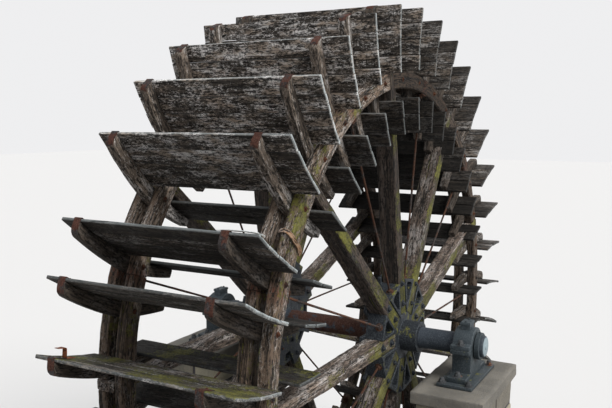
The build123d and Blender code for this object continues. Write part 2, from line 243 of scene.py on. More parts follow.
def mix(a, b, part):
    """Value a share of the way from a to b."""
    return a + (b - a) * part


def by_angle(angle, steps):
    """Value from rising (degrees, value) steps, read at an angle."""
    turn = (angle % (2 * pi)) * 180.0 / pi
    found = steps[0][1]
    for begin, value in steps:
        if turn >= begin:
            found = value
    return found


def paddle_angles(sizes):
    """Angles of the paddles, up from the upstream side."""
    count = sizes.paddle_count
    pitch = (2 * pi - sizes.closing_gap) / (count - 1)
    angles = []
    for index in range(count):
        drift = sizes.spacing_drift * sin(pi * index / (count - 1))
        shift = radians(UNEVEN_PADDLES.get(index, 0.0))
        angles.append(sizes.first_angle + index * pitch + drift + shift)
    return angles


def spoke_angles(sizes):
    """Angles of the spokes."""
    first = sizes.first_angle + sizes.spoke_lead
    return [first + 2 * pi * index / sizes.spoke_count for index in range(sizes.spoke_count)]


def rod_angles(sizes):
    """Angles of the tie rods, half way between the spokes."""
    return [angle + pi / sizes.spoke_count for angle in spoke_angles(sizes)]


def outward(angle):
    """Unit vector from the shaft at an angle."""
    return Vector((-cos(angle), 0.0, sin(angle)))


def upward(angle):
    """Unit vector square to outward, on the concave side of a paddle."""
    return Vector((sin(angle), 0.0, cos(angle)))


def wheel_point(angle, radius, height, y):
    """Point at a radius, a height square to it and a place along the shaft."""
    return AXLE + outward(angle) * radius + upward(angle) * height + ALONG_SHAFT * y


def board_height(sizes, radius, depth):
    """Height of the boards' arc at a radius, a depth behind their concave face."""
    arc = sizes.arc_radius + depth
    return sizes.arc_radius - sizes.set_back - sqrt(arc**2 - (radius - sizes.arc_foot) ** 2)


def start_depth(sizes, radius):
    """Depth of a start at a radius."""
    if radius > sizes.arc_foot:
        part = (radius - sizes.arc_foot) / (sizes.tip_radius - sizes.arc_foot)
        return mix(sizes.start_rim_depth, sizes.start_tip_depth, part)
    part = (sizes.arc_foot - radius) / (sizes.arc_foot - sizes.inner_from)
    return mix(sizes.start_rim_depth, sizes.start_tail_depth, part)


def spoke_width(sizes, radius):
    """Width of a spoke at a radius."""
    if radius < sizes.hub_radius:
        return sizes.spoke_hub_width
    part = (radius - sizes.hub_radius) / (sizes.rim_outer - sizes.hub_radius)
    return mix(sizes.spoke_hub_width, sizes.spoke_rim_width, part)


def place_piece(name, mesh, material, body, nodes, sharp):
    """Makes a mesh's object with its material, puts it under its body and hides the CAD nodes it
    stands for.
    """
    mesh.shade_smooth()
    mesh.set_sharp_from_angle(angle=radians(sharp))
    mesh.materials.append(material)
    piece = bpy.data.objects.new(name, mesh)
    bpy.context.scene.collection.objects.link(piece)
    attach(piece, body)
    if nodes:
        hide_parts(*nodes)
    return piece


class PieceMesh:
    """Gathers solids into one mesh, with grain coordinates and the layers on every point."""

    def __init__(self):
        self.points = []
        self.faces = []
        self.grain = []
        self.layers = {label: [] for label in LAYERS}

    def point(self, place, grain, *values):
        """Adds a point with its tint, bareness, stain and green, and gives its index."""
        self.points.append(place)
        self.grain.append(grain)
        for index, label in enumerate(LAYERS):
            self.layers[label].append(values[index] if index < len(values) else 0.0)
        return len(self.points) - 1

    def skin(self, low, high, flip):
        """Skins the stretch between two closed rings."""
        for index, corner in enumerate(low):
            after = (index + 1) % len(low)
            face = (corner, low[after], high[after], high[index])
            self.faces.append(face[::-1] if flip else face)

    def rings(self, rings, flip=False):
        """Skins a row of closed rings and closes both ends with a fan."""
        for low, high in zip(rings, rings[1:]):
            self.skin(low, high, flip)
        for ring, first in ((rings[0], True), (rings[-1], False)):
            middle = Vector((0.0, 0.0, 0.0))
            grain = Vector((0.0, 0.0, 0.0))
            for index in ring:
                middle += self.points[index]
                grain += self.grain[index]
            values = [self.layers[label][ring[0]] for label in LAYERS]
            hub = self.point(middle / len(ring), grain / len(ring), *values)
            for index, corner in enumerate(ring):
                face = (ring[(index + 1) % len(ring)], corner, hub)
                self.faces.append(face if first != flip else face[::-1])

    def make(self, name, material, body, nodes=(), sharp=40.0):
        """Makes the piece."""
        mesh = bpy.data.meshes.new(name)
        mesh.from_pydata([tuple(p) for p in self.points], [], self.faces)
        grain = mesh.attributes.new("grain", "FLOAT_VECTOR", "POINT")
        grain.data.foreach_set("vector", [value for entry in self.grain for value in entry])
        for label, values in self.layers.items():
            layer = mesh.attributes.new(label, "FLOAT", "POINT")
            layer.data.foreach_set("value", values)
        mesh.update()
        return place_piece(name, mesh, material, body, nodes, sharp)


class Station(NamedTuple):
    """One cross-section of a swept timber, and the layers on it."""

    centre: Vector
    u: Vector
    w: Vector
    half_u: float
    half_w: float
    along: float
    bare: float = 0.0
    stain: float = 0.0
    green: float = 0.0


class Timber(NamedTuple):
    """How a swept timber is finished: u_points and w_points say how finely its faces are cut, and
    shade adds tone that is mostly painted light and shade by where the timber stands.
    """

    corner: float
    rough: float
    wear: float
    crack: float = 0.0
    u_points: int = 2
    w_points: int = 2
    bare_u: float = 0.0
    seed: int = 0
    shade: float = 0.0
    green: float = 0.0


PLANK = Timber(corner=0.005, rough=0.003, wear=0.008, u_points=1, w_points=0)
START = Timber(corner=0.010, rough=0.004, wear=0.010, crack=0.010)
SPOKE = Timber(corner=0.014, rough=0.005, wear=0.012, crack=0.018)
FELLOE = Timber(corner=0.012, rough=0.007, wear=0.014, crack=0.014)
SPLINTER = Timber(
    corner=0.003, rough=0.004, wear=0.004, u_points=1, w_points=0, bare_u=0.7, shade=0.5
)
SLIVER = Timber(corner=0.004, rough=0.003, wear=0.004, u_points=1, w_points=0, seed=63)


def side_places(half, corner, points, crack_at):
    """Places along one side of a section, with three close ones where a crack may run."""
    reach = half - corner
    places = [-reach, reach]
    if points:
        places += [-0.5 * reach, 0.5 * reach]
    if points > 1:
        places += [crack_at - 0.005, crack_at, crack_at + 0.005]
    return sorted(places)


def draw_cracks(rng, timber, begin, total):
    """Cracks by side of the section: where each begins and ends, and its place across."""
    cracks = {}
    if timber.crack:
        for side in range(4):
            if rng.random() < 0.7:
                start = begin + rng.uniform(-0.15, 0.6) * total
                end = start + rng.uniform(0.25, 0.8) * total
                cracks[side] = (start, end, rng.uniform(-0.3, 0.3))
    return cracks


def section_outline(station, timber, cracks, tint):
    """Outline of a section as (u, w, way out, whether a corner, side), round its four sides."""
    corner = min(timber.corner, 0.45 * station.half_u, 0.45 * station.half_w)
    outline = []
    sides = (
        (station.half_u, False, station.half_w, 1, timber.w_points),
        (station.half_w, True, station.half_u, -1, timber.u_points),
        (-station.half_u, False, station.half_w, -1, timber.w_points),
        (-station.half_w, True, station.half_u, 1, timber.u_points),
    )
    for side, (level, swap, half, direction, points) in enumerate(sides):
        wander = 0.0
        opening = 0.0
        if side in cracks:
            start, end, middle = cracks[side]
            stray = noise.noise(Vector((station.along * 2.0, side, tint * 9)))
            wander = (middle + 0.12 * stray) * half
            part = (station.along - start) / (end - start)
            if 0.0 < part < 1.0:
                opening = timber.crack * min(1.0, 3.0 * min(part, 1.0 - part))
        places = side_places(half, corner, points, wander)
        if direction < 0:
            places = places[::-1]
        sign = 1.0 if level > 0 else -1.0
        for place in places:
            at_crack = opening and abs(place - wander) < 1e-6
            depth = level - sign * (opening if at_crack else 0.0)
            a, b = (place, depth) if swap else (depth, place)
            out = Vector((0.0, sign)) if swap else Vector((sign, 0.0))
            outline.append((a, b, out, False, side))
        last = places[-1]
        turn = (1.0 if last > 0 else -1.0) * (abs(last) + 0.7071 * corner)
        drop = level - sign * 0.2929 * corner
        a, b = (turn, drop) if swap else (drop, turn)
        out = Vector((1.0 if a > 0 else -1.0, 1.0 if b > 0 else -1.0)) * 0.7071
        outline.append((a, b, out, True, side))
    return outline


def add_timber(mesh, stations, timber):
    """Sweeps a timber through its stations, with worn corners, ridges and cracks."""
    rng = random.Random(timber.seed)
    shift = Vector([rng.uniform(-40.0, 40.0) for _ in range(3)])
    # The tint is a random tone plus the timber's shade, which is mostly painted light and shade.
    tint = rng.uniform(0.15, 0.85) + timber.shade
    begin = stations[0].along
    cracks = draw_cracks(rng, timber, begin, stations[-1].along - begin)
    rings = []
    for station in stations:
        ring = []
        for a, b, out, is_corner, side in section_outline(station, timber, cracks, tint):
            grain = Vector((station.along, a, b)) + shift
            ridge = noise.noise(Vector((grain.x * 3.0, grain.y * 34.0, grain.z * 34.0)))
            swell = noise.noise(Vector((grain.x * 1.3, grain.y * 5.0, grain.z * 5.0)))
            push = timber.rough * (0.55 * ridge + 0.9 * swell - 0.35)
            if is_corner:
                chip = noise.noise(Vector((grain.x * 7.0, side * 5.0, tint * 30.0)))
                push -= timber.wear * max(0.0, chip + 0.15) * 1.5
            a += out.x * push
            b += out.y * push
            bare = station.bare
            if timber.bare_u and (side == 0 or (side == 3 and is_corner)):
                bare = max(bare, timber.bare_u)
            if b < 0.0:
                bare *= 0.25
            green = station.green + (timber.green if b > 0.0 or timber.green < 0.0 else 0.0)
            place = station.centre + station.u * a + station.w * b
            ring.append(mesh.point(place, grain, tint, bare, station.stain, green))
        rings.append(ring)
    ahead = stations[-1].centre - stations[0].centre
    if (stations[1].centre - stations[0].centre).length > 1e-6:
        ahead = stations[1].centre - stations[0].centre
    mesh.rings(rings, stations[0].u.cross(stations[0].w).dot(ahead) < 0.0)


def rounded_run(start, end, steps, ease):
    """Places from start to end, with three close ones at each end for a rounded arris."""
    run = [start, start + ease, start + 3 * ease]
    run += [mix(start, end, step / steps) for step in range(1, steps)]
    run += [end - 3 * ease, end - ease, end]
    return run


def add_lathe(mesh, profile, origin, axis, segments, tint=0.5, wobble=0.0, seed=0):
    """Turns a profile of (along, radius) or (along, radius, bareness) round an axis."""
    side = axis.orthogonal().normalized()
    other = axis.cross(side)
    rings = []
    for along, radius, *bare in profile:
        ring = []
        for step in range(segments):
            turn = 2 * pi * step / segments
            way = side * cos(turn) + other * sin(turn)
            grain = Vector((along, turn * max(radius, 0.01), seed * 3.7))
            bump = wobble * noise.noise(Vector((along * 9.0, way.x * 4.0 + seed, way.z * 4.0)))
            place = origin + axis * along + way * (radius + bump)
            ring.append(mesh.point(place, grain, tint, *bare))
        rings.append(ring)
    mesh.rings(rings)


def add_prism(mesh, outline, origin, axis, side, heights, tint):
    """Prism of several rings: heights holds (height, scale) pairs along the axis."""
    other = axis.cross(side)
    rings = []
    for height, scale in heights:
        ring = []
        for a, b in outline:
            place = origin + side * (a * scale) + other * (b * scale) + axis * height
            ring.append(mesh.point(place, Vector((height, a, b)) + origin, tint))
        rings.append(ring)
    mesh.rings(rings)


def polygon(radius, sides, turn=0.0):
    """Corners of a regular polygon."""
    angles = [turn + 2 * pi * step / sides for step in range(sides)]
    return [(radius * cos(angle), radius * sin(angle)) for angle in angles]


class Bolt(NamedTuple):
    """A nut's radius, height and sides, and its washer and bolt as shares of the radius."""

    radius: float
    height: float
    sides: int
    washer: float = 1.5
    stub: float = 0.5


STRAP_NAIL = Bolt(0.013, 0.009, 8, 1.2, 0.4)
STRAP_NUT = Bolt(0.014, 0.010, 4, 1.2)
RIM_NUT = Bolt(0.020, 0.014, 4)
ROD_HUB_NUT = Bolt(0.032, 0.030, 6, 1.5, 0.4)
ROD_RIM_NUT = Bolt(0.034, 0.030, 6, 1.4, 0.4)
HUB_FRONT_NUT = Bolt(0.030, 0.024, 6, 1.7)
HUB_BACK_NUT = Bolt(0.030, 0.024, 6, 1.4)
COLLAR_SCREW = Bolt(0.014, 0.012, 4)
BLOCK_NUT = Bolt(0.036, 0.034, 6, 1.45, 0.75)
BASE_NUT = Bolt(0.036, 0.034, 6, 1.7, 0.75)
LID_SCREW = Bolt(0.014, 0.010, 6, 1.3)


def add_bolt(mesh, place, axis, bolt, seed):
    """Washer, nut with chamfered corners and the domed end of its bolt."""
    rng = random.Random(seed)
    axis = axis.normalized()
    side = axis.orthogonal().normalized()
    turn = rng.uniform(0.0, pi)
    tint = rng.random()
    thin = 0.16 * bolt.height
    wide = bolt.washer * bolt.radius
    washer = [(0.0, wide), (thin * 0.7, wide), (thin, wide - 0.003)]
    add_lathe(mesh, washer, place, axis, 20, tint, 0.001, seed)
    top = bolt.height + thin
    rings = [(thin, 1.0), (0.8 * bolt.height + thin, 1.0), (top, 0.84)]
    add_prism(mesh, polygon(bolt.radius, bolt.sides, turn), place, axis, side, rings, tint)
    stub = bolt.stub * bolt.radius
    dome = [(top - 0.002, stub), (top + 0.45 * stub, stub), (top + 0.75 * stub, 0.8 * stub)]
    add_lathe(mesh, dome, place, axis, 12, tint, 0.0, seed)


def add_band(mesh, path, y, width, thickness, seed, wear=0.004):
    """Iron band bent along a path of wheel points, with rust-eaten edges."""
    tint = random.Random(seed).random()
    half = 0.5 * width
    outline = [(-half, 0.0), (0.0, 0.0), (half, 0.0)]
    outline += [(half, thickness), (0.0, thickness), (-half, thickness)]
    rings = []
    along = 0.0
    for index, place in enumerate(path):
        before = path[max(index - 1, 0)]
        after = path[min(index + 1, len(path) - 1)]
        normal = ALONG_SHAFT.cross((after - before).normalized())
        if index:
            along += (place - path[index - 1]).length
        ring = []
        for a, b in outline:
            grain = Vector((along, a, b)) + Vector((seed * 1.7, 0.0, 0.0))
            if a:
                bite = wear * (noise.noise(Vector((along * 30.0, a * 40.0, seed * 2.3))) - 0.2)
                a += bite if a < 0 else -bite
            lift = 0.0015 * noise.noise(Vector((along * 18.0, a * 20.0, seed * 1.1)))
            spot = place + ALONG_SHAFT * (y + a) + normal * (b + lift)
            ring.append(mesh.point(spot, grain, tint))
        rings.append(ring)
    mesh.rings(rings, True)


def bevelled_copy(node, width, segments):
    """Mesh data of a CAD casting with its arrises rounded."""
    work = bmesh.new()
    work.from_mesh(frame["nodes"][node].data)
    bmesh.ops.remove_doubles(work, verts=work.verts[:], dist=1e-5)
    bmesh.ops.dissolve_limit(
        work, angle_limit=radians(1.0), verts=work.verts[:], edges=work.edges[:],
        use_dissolve_boundaries=False,
    )
    edges = [
        edge for edge in work.edges
        if len(edge.link_faces) == 2 and edge.calc_face_angle(0.0) > radians(25.0)
    ]
    bmesh.ops.bevel(
        work, geom=edges, offset=width, offset_type="OFFSET", segments=segments,
        profile=0.5, affect="EDGES", clamp_overlap=True,
    )
    bmesh.ops.triangulate(work, faces=[face for face in work.faces if len(face.verts) > 4])
    worn = work.verts.layers.float.new("bare")
    for vert in work.verts:
        widths = [
            face.calc_area() / max(edge.calc_length() for edge in face.edges)
            for face in vert.link_faces
        ]
        vert[worn] = 1.0 if widths and max(widths) < 0.8 * width else 0.0
    return work


def add_plain_layers(mesh):
    """Gives a copied casting the layers that the materials read."""
    grain = mesh.attributes.new("grain", "FLOAT_VECTOR", "POINT")
    places = [0.0] * (3 * len(mesh.vertices))
    mesh.vertices.foreach_get("co", places)
    grain.data.foreach_set("vector", places)
    for label, value in (("tint", 0.5), ("stain", 0.0), ("green", 0.0)):
        layer = mesh.attributes.new(label, "FLOAT", "POINT")
        layer.data.foreach_set("value", [value] * len(mesh.vertices))


def casting(node, name, material, body, width, segments):
    """Casting copied from its CAD node with rounded arrises."""
    work = bevelled_copy(node, width, segments)
    mesh = bpy.data.meshes.new(name)
    work.to_mesh(mesh)
    work.free()
    add_plain_layers(mesh)
    return place_piece(name, mesh, material, body, [node], 35.0)


class NodeDesk:
    """Puts nodes in a tree and joins them."""

    def __init__(self, tree):
        self.tree = tree
        self.column = 0

    def feed(self, node, inputs):
        """Feeds a node's sockets with values or with other sockets."""
        for key, value in inputs.items():
            if isinstance(value, bpy.types.NodeSocket):
                self.tree.links.new(value, node.inputs[key])
            else:
                node.inputs[key].default_value = value

    def put(self, kind, inputs=None, **settings):
        """Adds a node, sets it and feeds it."""
        node = self.tree.nodes.new(kind)
        self.column += 1
        node.location = (180.0 * (self.column % 12), -220.0 * (self.column // 12))
        for key, value in settings.items():
            setattr(node, key, value)
        self.feed(node, inputs or {})
        return node

    def layer(self, name, output="Fac"):
        """Value of a mesh layer."""
        return self.put("ShaderNodeAttribute", attribute_name=name).outputs[output]

    def math(self, operation, first, second=0.0, third=0.0, clamp=False):
        """Math node and its result."""
        inputs = {0: first, 1: second, 2: third}
        return self.put("ShaderNodeMath", inputs, operation=operation, use_clamp=clamp).outputs[0]

    def plus(self, first, second):
        """Sum of two values."""
        return self.math("ADD", first, second)

    def minus(self, first, second):
        """First value less the second."""
        return self.math("SUBTRACT", first, second)

    def times(self, first, second):
        """Product of two values."""
        return self.math("MULTIPLY", first, second)

    def scaled(self, value, factor, added, clamp=False):
        """Value times a factor, with something added."""
        return self.math("MULTIPLY_ADD", value, factor, added, clamp)

    def blend(self, factor, first, second, blend_type="MIX"):
        """Mix of two colours."""
        inputs = {0: factor, 6: first, 7: second}
        node = self.put("ShaderNodeMix", inputs, data_type="RGBA", blend_type=blend_type)
        return node.outputs[2]

    def shaded(self, color, light, blue=None):
        """Colour multiplied by a value, or by another one in its blue."""
        parts = {0: light, 1: light, 2: light if blue is None else blue}
        shade = self.put("ShaderNodeCombineColor", parts).outputs[0]
        return self.blend(1.0, color, shade, "MULTIPLY")

    def span(self, value, low, high, to_low=0.0, to_high=1.0):
        """Value remapped from one span to another, smooth at both ends."""
        inputs = {
            "Value": value, "From Min": low, "From Max": high, "To Min": to_low, "To Max": to_high,
        }
        node = self.put("ShaderNodeMapRange", inputs, interpolation_type="SMOOTHSTEP")
        return node.outputs["Result"]

    def noise(self, vector, scale, detail, roughness):
        """Noise value."""
        inputs = {"Vector": vector, "Scale": scale, "Detail": detail, "Roughness": roughness}
        return self.put("ShaderNodeTexNoise", inputs).outputs["Fac"]

    def grained(self, grain, along, across, detail, roughness):
        """Noise drawn out along the grain."""
        scale = (along, across, across)
        node = self.put("ShaderNodeVectorMath", {0: grain, 1: scale}, operation="MULTIPLY")
        return self.noise(node.outputs[0], 1.0, detail, roughness)


VECTOR = "NodeSocketVector"
FLOAT = "NodeSocketFloat"
COLOR = "NodeSocketColor"


def new_group(name, inputs, outputs):
    """Shader node group with named sockets: the desk to fill it, its inputs and a way out."""
    tree = bpy.data.node_groups.new(name, "ShaderNodeTree")
    for label, kind, default in inputs:
        socket = tree.interface.new_socket(name=label, in_out="INPUT", socket_type=kind)
        if default is not None:
            socket.default_value = default
    for label, kind in outputs:
        tree.interface.new_socket(name=label, in_out="OUTPUT", socket_type=kind)
    entry = tree.nodes.new("NodeGroupInput")
    leave = tree.nodes.new("NodeGroupOutput")
    return NodeDesk(tree), entry.outputs, leave


def oak_group():
    """Weathered oak: streaks along the grain, soaked patches, bleached flecks, runs and cracks."""
    desk, given, leave = new_group(
        "Weathered Oak",
        [
            ("Grain", VECTOR, None), ("Tint", FLOAT, 0.5), ("Bare", FLOAT, 0.0),
            ("Dark", COLOR, None), ("Brown", COLOR, None), ("Silver", COLOR, None),
            ("Tan", COLOR, None), ("Edge", COLOR, None), ("Stain", FLOAT, 0.0),
            ("Rust", COLOR, None), ("Bleach", FLOAT, 0.5), ("Cracks", FLOAT, 0.5),
            ("Brightness", FLOAT, 1.0), ("Runs", FLOAT, 0.0),
        ],
        [("Color", COLOR), ("Height", FLOAT), ("Roughness", FLOAT)],
    )
    grain = given["Grain"]
    bend = desk.times(desk.minus(desk.grained(grain, 0.9, 3.0, 2.0, 0.55), 0.5), 0.06)
    offset = desk.put("ShaderNodeCombineXYZ", {"X": 0.0, "Y": bend, "Z": bend}).outputs[0]
    grain = desk.put("ShaderNodeVectorMath", {0: grain, 1: offset}, operation="ADD").outputs[0]
    streaks = desk.grained(grain, 1.1, 24.0, 5.0, 0.62)
    fibres = desk.grained(grain, 6.0, 150.0, 4.0, 0.6)
    patches = desk.grained(grain, 2.2, 6.0, 4.0, 0.6)
    flecks = desk.grained(grain, 27.0, 72.0, 6.0, 0.82)
    soaked = desk.grained(grain, 14.0, 44.0, 5.0, 0.76)
    kinds = desk.grained(grain, 4.0, 12.0, 3.0, 0.6)
    runs = desk.grained(grain, 46.0, 2.6, 4.0, 0.65)
    lines = desk.grained(grain, 0.8, 13.0, 1.5, 0.5)

    cracks = desk.span(desk.math("ABSOLUTE", desk.minus(lines, 0.5)), 0.004, 0.02, 1.0, 0.0)
    cracks = desk.times(cracks, desk.span(patches, 0.42, 0.55))
    cracks = desk.times(cracks, given["Cracks"])
    tone = desk.plus(desk.times(streaks, 0.6), desk.times(fibres, 0.4))
    base = desk.blend(desk.span(tone, 0.36, 0.58), given["Dark"], given["Brown"])

    level = desk.scaled(desk.minus(patches, 0.5), 0.62, flecks)
    level = desk.scaled(desk.minus(streaks, 0.5), 0.25, level)
    pale = desk.times(desk.span(level, 0.485, 0.56), given["Bleach"])
    # Fewer pale flecks where the tint is low, so painted shade also dulls them.
    pale = desk.times(pale, desk.scaled(given["Tint"], 0.9, 0.55, clamp=True))
    fleck = desk.blend(desk.span(kinds, 0.40, 0.60), given["Tan"], given["Silver"])
    base = desk.blend(pale, base, fleck)

    base = desk.blend(desk.span(soaked, 0.42, 0.50, 0.94, 0.0), base, given["Dark"])
    wet = desk.times(desk.span(runs, 0.53, 0.63), desk.span(kinds, 0.42, 0.58, 0.0, 0.62))
    base = desk.blend(desk.times(wet, given["Runs"]), base, given["Dark"])
    stain = desk.times(given["Stain"], desk.span(soaked, 0.46, 0.56))
    base = desk.blend(desk.times(stain, 0.70), base, given["Rust"])
    edge = desk.times(given["Bare"], desk.span(flecks, 0.28, 0.46))
    base = desk.blend(edge, base, given["Edge"])
    base = desk.blend(desk.times(cracks, 0.9), base, CRACK_DARK)

    # Painted light and shade: the tint, which holds the shade by angle, and the pale edges lighten
    # or darken the colour.
    light = desk.math("MAXIMUM", desk.scaled(given["Tint"], 0.5, 0.75), given["Bare"])
    base = desk.shaded(base, desk.times(light, given["Brightness"]))
    height = desk.plus(desk.times(streaks, 0.7), desk.times(fibres, 0.35))
    height = desk.minus(desk.plus(height, desk.times(soaked, 0.5)), cracks)
    roughness = desk.span(tone, 0.3, 0.7, 0.72, 0.92)
    desk.feed(leave, {"Color": base, "Height": height, "Roughness": roughness})
    return desk.tree


def moss_group():
    """Moss in patches, thicker on what faces up at rest and on faces square to the shaft."""
    desk, given, leave = new_group(
        "Moss Growth",
        [
            ("Place", VECTOR, None), ("Facing", VECTOR, None), ("Color", COLOR, None),
            ("Height", FLOAT, 0.5), ("Dark", COLOR, None), ("Light", COLOR, None),
            ("Amount", FLOAT, 0.3), ("Across", FLOAT, 0.0), ("Scale", FLOAT, 2.5),
        ],
        [("Color", COLOR), ("Height", FLOAT)],
    )
    wide = desk.noise(given["Place"], given["Scale"], 5.0, 0.68)
    fine = desk.noise(given["Place"], 46.0, 5.0, 0.72)
    facing = desk.put("ShaderNodeSeparateXYZ", {0: given["Facing"]}).outputs
    level = desk.plus(desk.scaled(fine, 0.46, -0.23), wide)
    level = desk.scaled(facing["Z"], 0.06, level)
    level = desk.scaled(desk.math("ABSOLUTE", facing["Y"]), given["Across"], level)
    low = desk.minus(0.86, desk.times(given["Amount"], 0.6))
    mask = desk.times(desk.span(level, low, desk.plus(low, 0.12)), 0.80)
    growth = desk.scaled(desk.minus(wide, 0.5), 1.1, fine)
    growth = desk.blend(desk.span(growth, 0.42, 0.76), given["Dark"], given["Light"])
    base = desk.blend(mask, given["Color"], growth)
    height = desk.plus(given["Height"], desk.times(mask, desk.times(fine, 0.9)))
    desk.feed(leave, {"Color": base, "Height": height})
    return desk.tree


def rust_group():
    """Old iron: rust in patches and streaks over what is left of the finish."""
    desk, given, leave = new_group(
        "Rusted Iron",
        [
            ("Place", VECTOR, None), ("Tint", FLOAT, 0.5), ("Finish", COLOR, None),
            ("Old Rust", COLOR, None), ("Fresh Rust", COLOR, None), ("Amount", FLOAT, 0.5),
            ("Scale", FLOAT, 6.0), ("Worn", FLOAT, 0.0),
        ],
        [("Color", COLOR), ("Height", FLOAT), ("Roughness", FLOAT), ("Metallic", FLOAT)],
    )
    wide = desk.noise(given["Place"], given["Scale"], 6.0, 0.62)
    fine = desk.noise(given["Place"], 75.0, 4.0, 0.65)
    grit = desk.noise(given["Place"], 260.0, 2.0, 0.6)
    level = desk.plus(wide, desk.scaled(fine, 0.24, -0.12))
    low = desk.minus(0.80, desk.times(given["Amount"], 0.62))
    mask = desk.span(level, low, desk.plus(low, 0.10))
    rust = desk.blend(desk.span(fine, 0.36, 0.66), given["Old Rust"], given["Fresh Rust"])
    rust = desk.blend(desk.span(grit, 0.5, 0.75, 0.0, 0.5), rust, given["Old Rust"])
    chalked = desk.span(fine, 0.40, 0.75, 0.0, 0.22)
    finish = desk.blend(chalked, given["Finish"], CHALKED_PAINT)
    worn = desk.times(given["Worn"], desk.span(fine, 0.42, 0.58))
    finish = desk.blend(worn, finish, WORN_IRON)
    base = desk.blend(mask, finish, rust)
    base = desk.shaded(base, desk.scaled(given["Tint"], 0.4, 0.8))
    height = desk.plus(desk.times(fine, 0.5), desk.times(mask, 0.35))
    desk.feed(leave, {
        "Color": base, "Height": desk.plus(height, desk.times(grit, 0.2)),
        "Roughness": desk.span(mask, 0.0, 1.0, 0.58, 0.90),
        "Metallic": desk.span(mask, 0.0, 1.0, 0.20, 0.0),
    })
    return desk.tree


def stone_group():
    """Sandstone blocks: grain, pits and damp stains."""
    desk, given, leave = new_group(
        "Rough Stone",
        [
            ("Place", VECTOR, None), ("Tint", FLOAT, 0.5), ("Stone", COLOR, None),
            ("Damp", FLOAT, 0.4),
        ],
        [("Color", COLOR), ("Height", FLOAT), ("Roughness", FLOAT)],
    )
    wide = desk.noise(given["Place"], 3.0, 5.0, 0.6)
    fine = desk.noise(given["Place"], 38.0, 6.0, 0.7)
    pits = desk.put("ShaderNodeTexVoronoi", {"Vector": given["Place"], "Scale": 34.0})
    place = desk.put("ShaderNodeSeparateXYZ", {0: given["Place"]}).outputs
    low_down = desk.span(place["Z"], 0.2, 2.6, 1.0, 0.0)
    damp = desk.times(desk.plus(desk.times(low_down, 0.6), wide), given["Damp"])
    base = desk.blend(desk.span(fine, 0.3, 0.7), given["Stone"], WARM_STONE)
    base = desk.blend(desk.span(wide, 0.35, 0.65, 0.0, 0.45), base, GREY_STONE)
    base = desk.blend(damp, base, DAMP_STONE)
    light = desk.scaled(given["Tint"], 0.75, 0.60)
    base = desk.shaded(base, light, desk.scaled(given["Tint"], 0.62, 0.62))
    relief = desk.times(desk.span(pits.outputs["Distance"], 0.0, 0.35), 0.4)
    desk.feed(leave, {
        "Color": base, "Height": desk.plus(fine, relief),
        "Roughness": desk.span(wide, 0.3, 0.7, 0.95, 0.8),
    })
    return desk.tree


GROUPS = {
    "Weathered Oak": oak_group,
    "Moss Growth": moss_group,
    "Rusted Iron": rust_group,
    "Rough Stone": stone_group,
}


def group_node(desk, name, inputs):
    """One of the shared groups placed in a material."""
    node = desk.put("ShaderNodeGroup")
    node.node_tree = bpy.data.node_groups.get(name) or GROUPS[name]()
    desk.feed(node, inputs)
    return node.outputs


def paint(value):
    """Colour with full alpha, from its values or from the name of one of the wheel's colours."""
    if isinstance(value, str):
        value = getattr(bpy.context.scene.wheel_colours, value)
    return (value[0], value[1], value[2], 1.0)


def new_material(name):
    """Empty node material with its surface shader."""
    material = bpy.data.materials.new(name)
    material.use_nodes = True
    material.node_tree.nodes.clear()
    desk = NodeDesk(material.node_tree)
    shader = desk.put("ShaderNodeBsdfPrincipled")
    desk.put("ShaderNodeOutputMaterial", {"Surface": shader.outputs[0]})
    return material, desk, shader


def grow_moss(desk, place, surface, amount, scale, across=0.0):
    """Colour and height of a surface with moss on it."""
    return group_node(desk, "Moss Growth", {
        "Place": place["Object"], "Facing": place["Normal"], "Color": surface["Color"],
        "Height": surface["Height"], "Dark": paint("moss_dark"), "Light": paint("moss_light"),
        "Amount": amount, "Across": across, "Scale": scale,
    })


def join_surface(desk, shader, surface, roughness, relief):
    """Feeds the shader from a surface's colour and height, and from a roughness."""
    inputs = {"Height": surface["Height"], "Distance": relief, "Strength": 1.0}
    bump = desk.put("ShaderNodeBump", inputs).outputs["Normal"]
    desk.feed(shader, {
        "Base Color": surface["Color"], "Roughness": roughness, "Normal": bump,
    })


def oak_material(
    name, brightness, bleach, cracks, moss, moss_scale=1.8, brown="oak_brown", relief=0.006,
    across=0.0, runs=0.0,
):
    """Weathered oak with moss."""
    material, desk, shader = new_material(name)
    wood = group_node(desk, "Weathered Oak", {
        "Grain": desk.layer("grain", "Vector"), "Tint": desk.layer("tint"),
        "Bare": desk.layer("bare"), "Dark": paint("oak_dark"), "Brown": paint(brown),
        "Silver": paint("oak_silver"), "Tan": paint("oak_tan"), "Edge": paint("oak_bare_and_highlight"),
        "Bleach": bleach, "Stain": desk.layer("stain"), "Rust": RUST_STAIN, "Cracks": cracks,
        "Brightness": brightness, "Runs": runs,
    })
    place = desk.put("ShaderNodeTexCoord").outputs
    amount = desk.plus(desk.layer("green"), moss)
    mossy = grow_moss(desk, place, wood, amount, moss_scale, across)
    join_surface(desk, shader, mossy, wood["Roughness"], relief)
    shader.inputs["Specular IOR Level"].default_value = 0.25
    return material


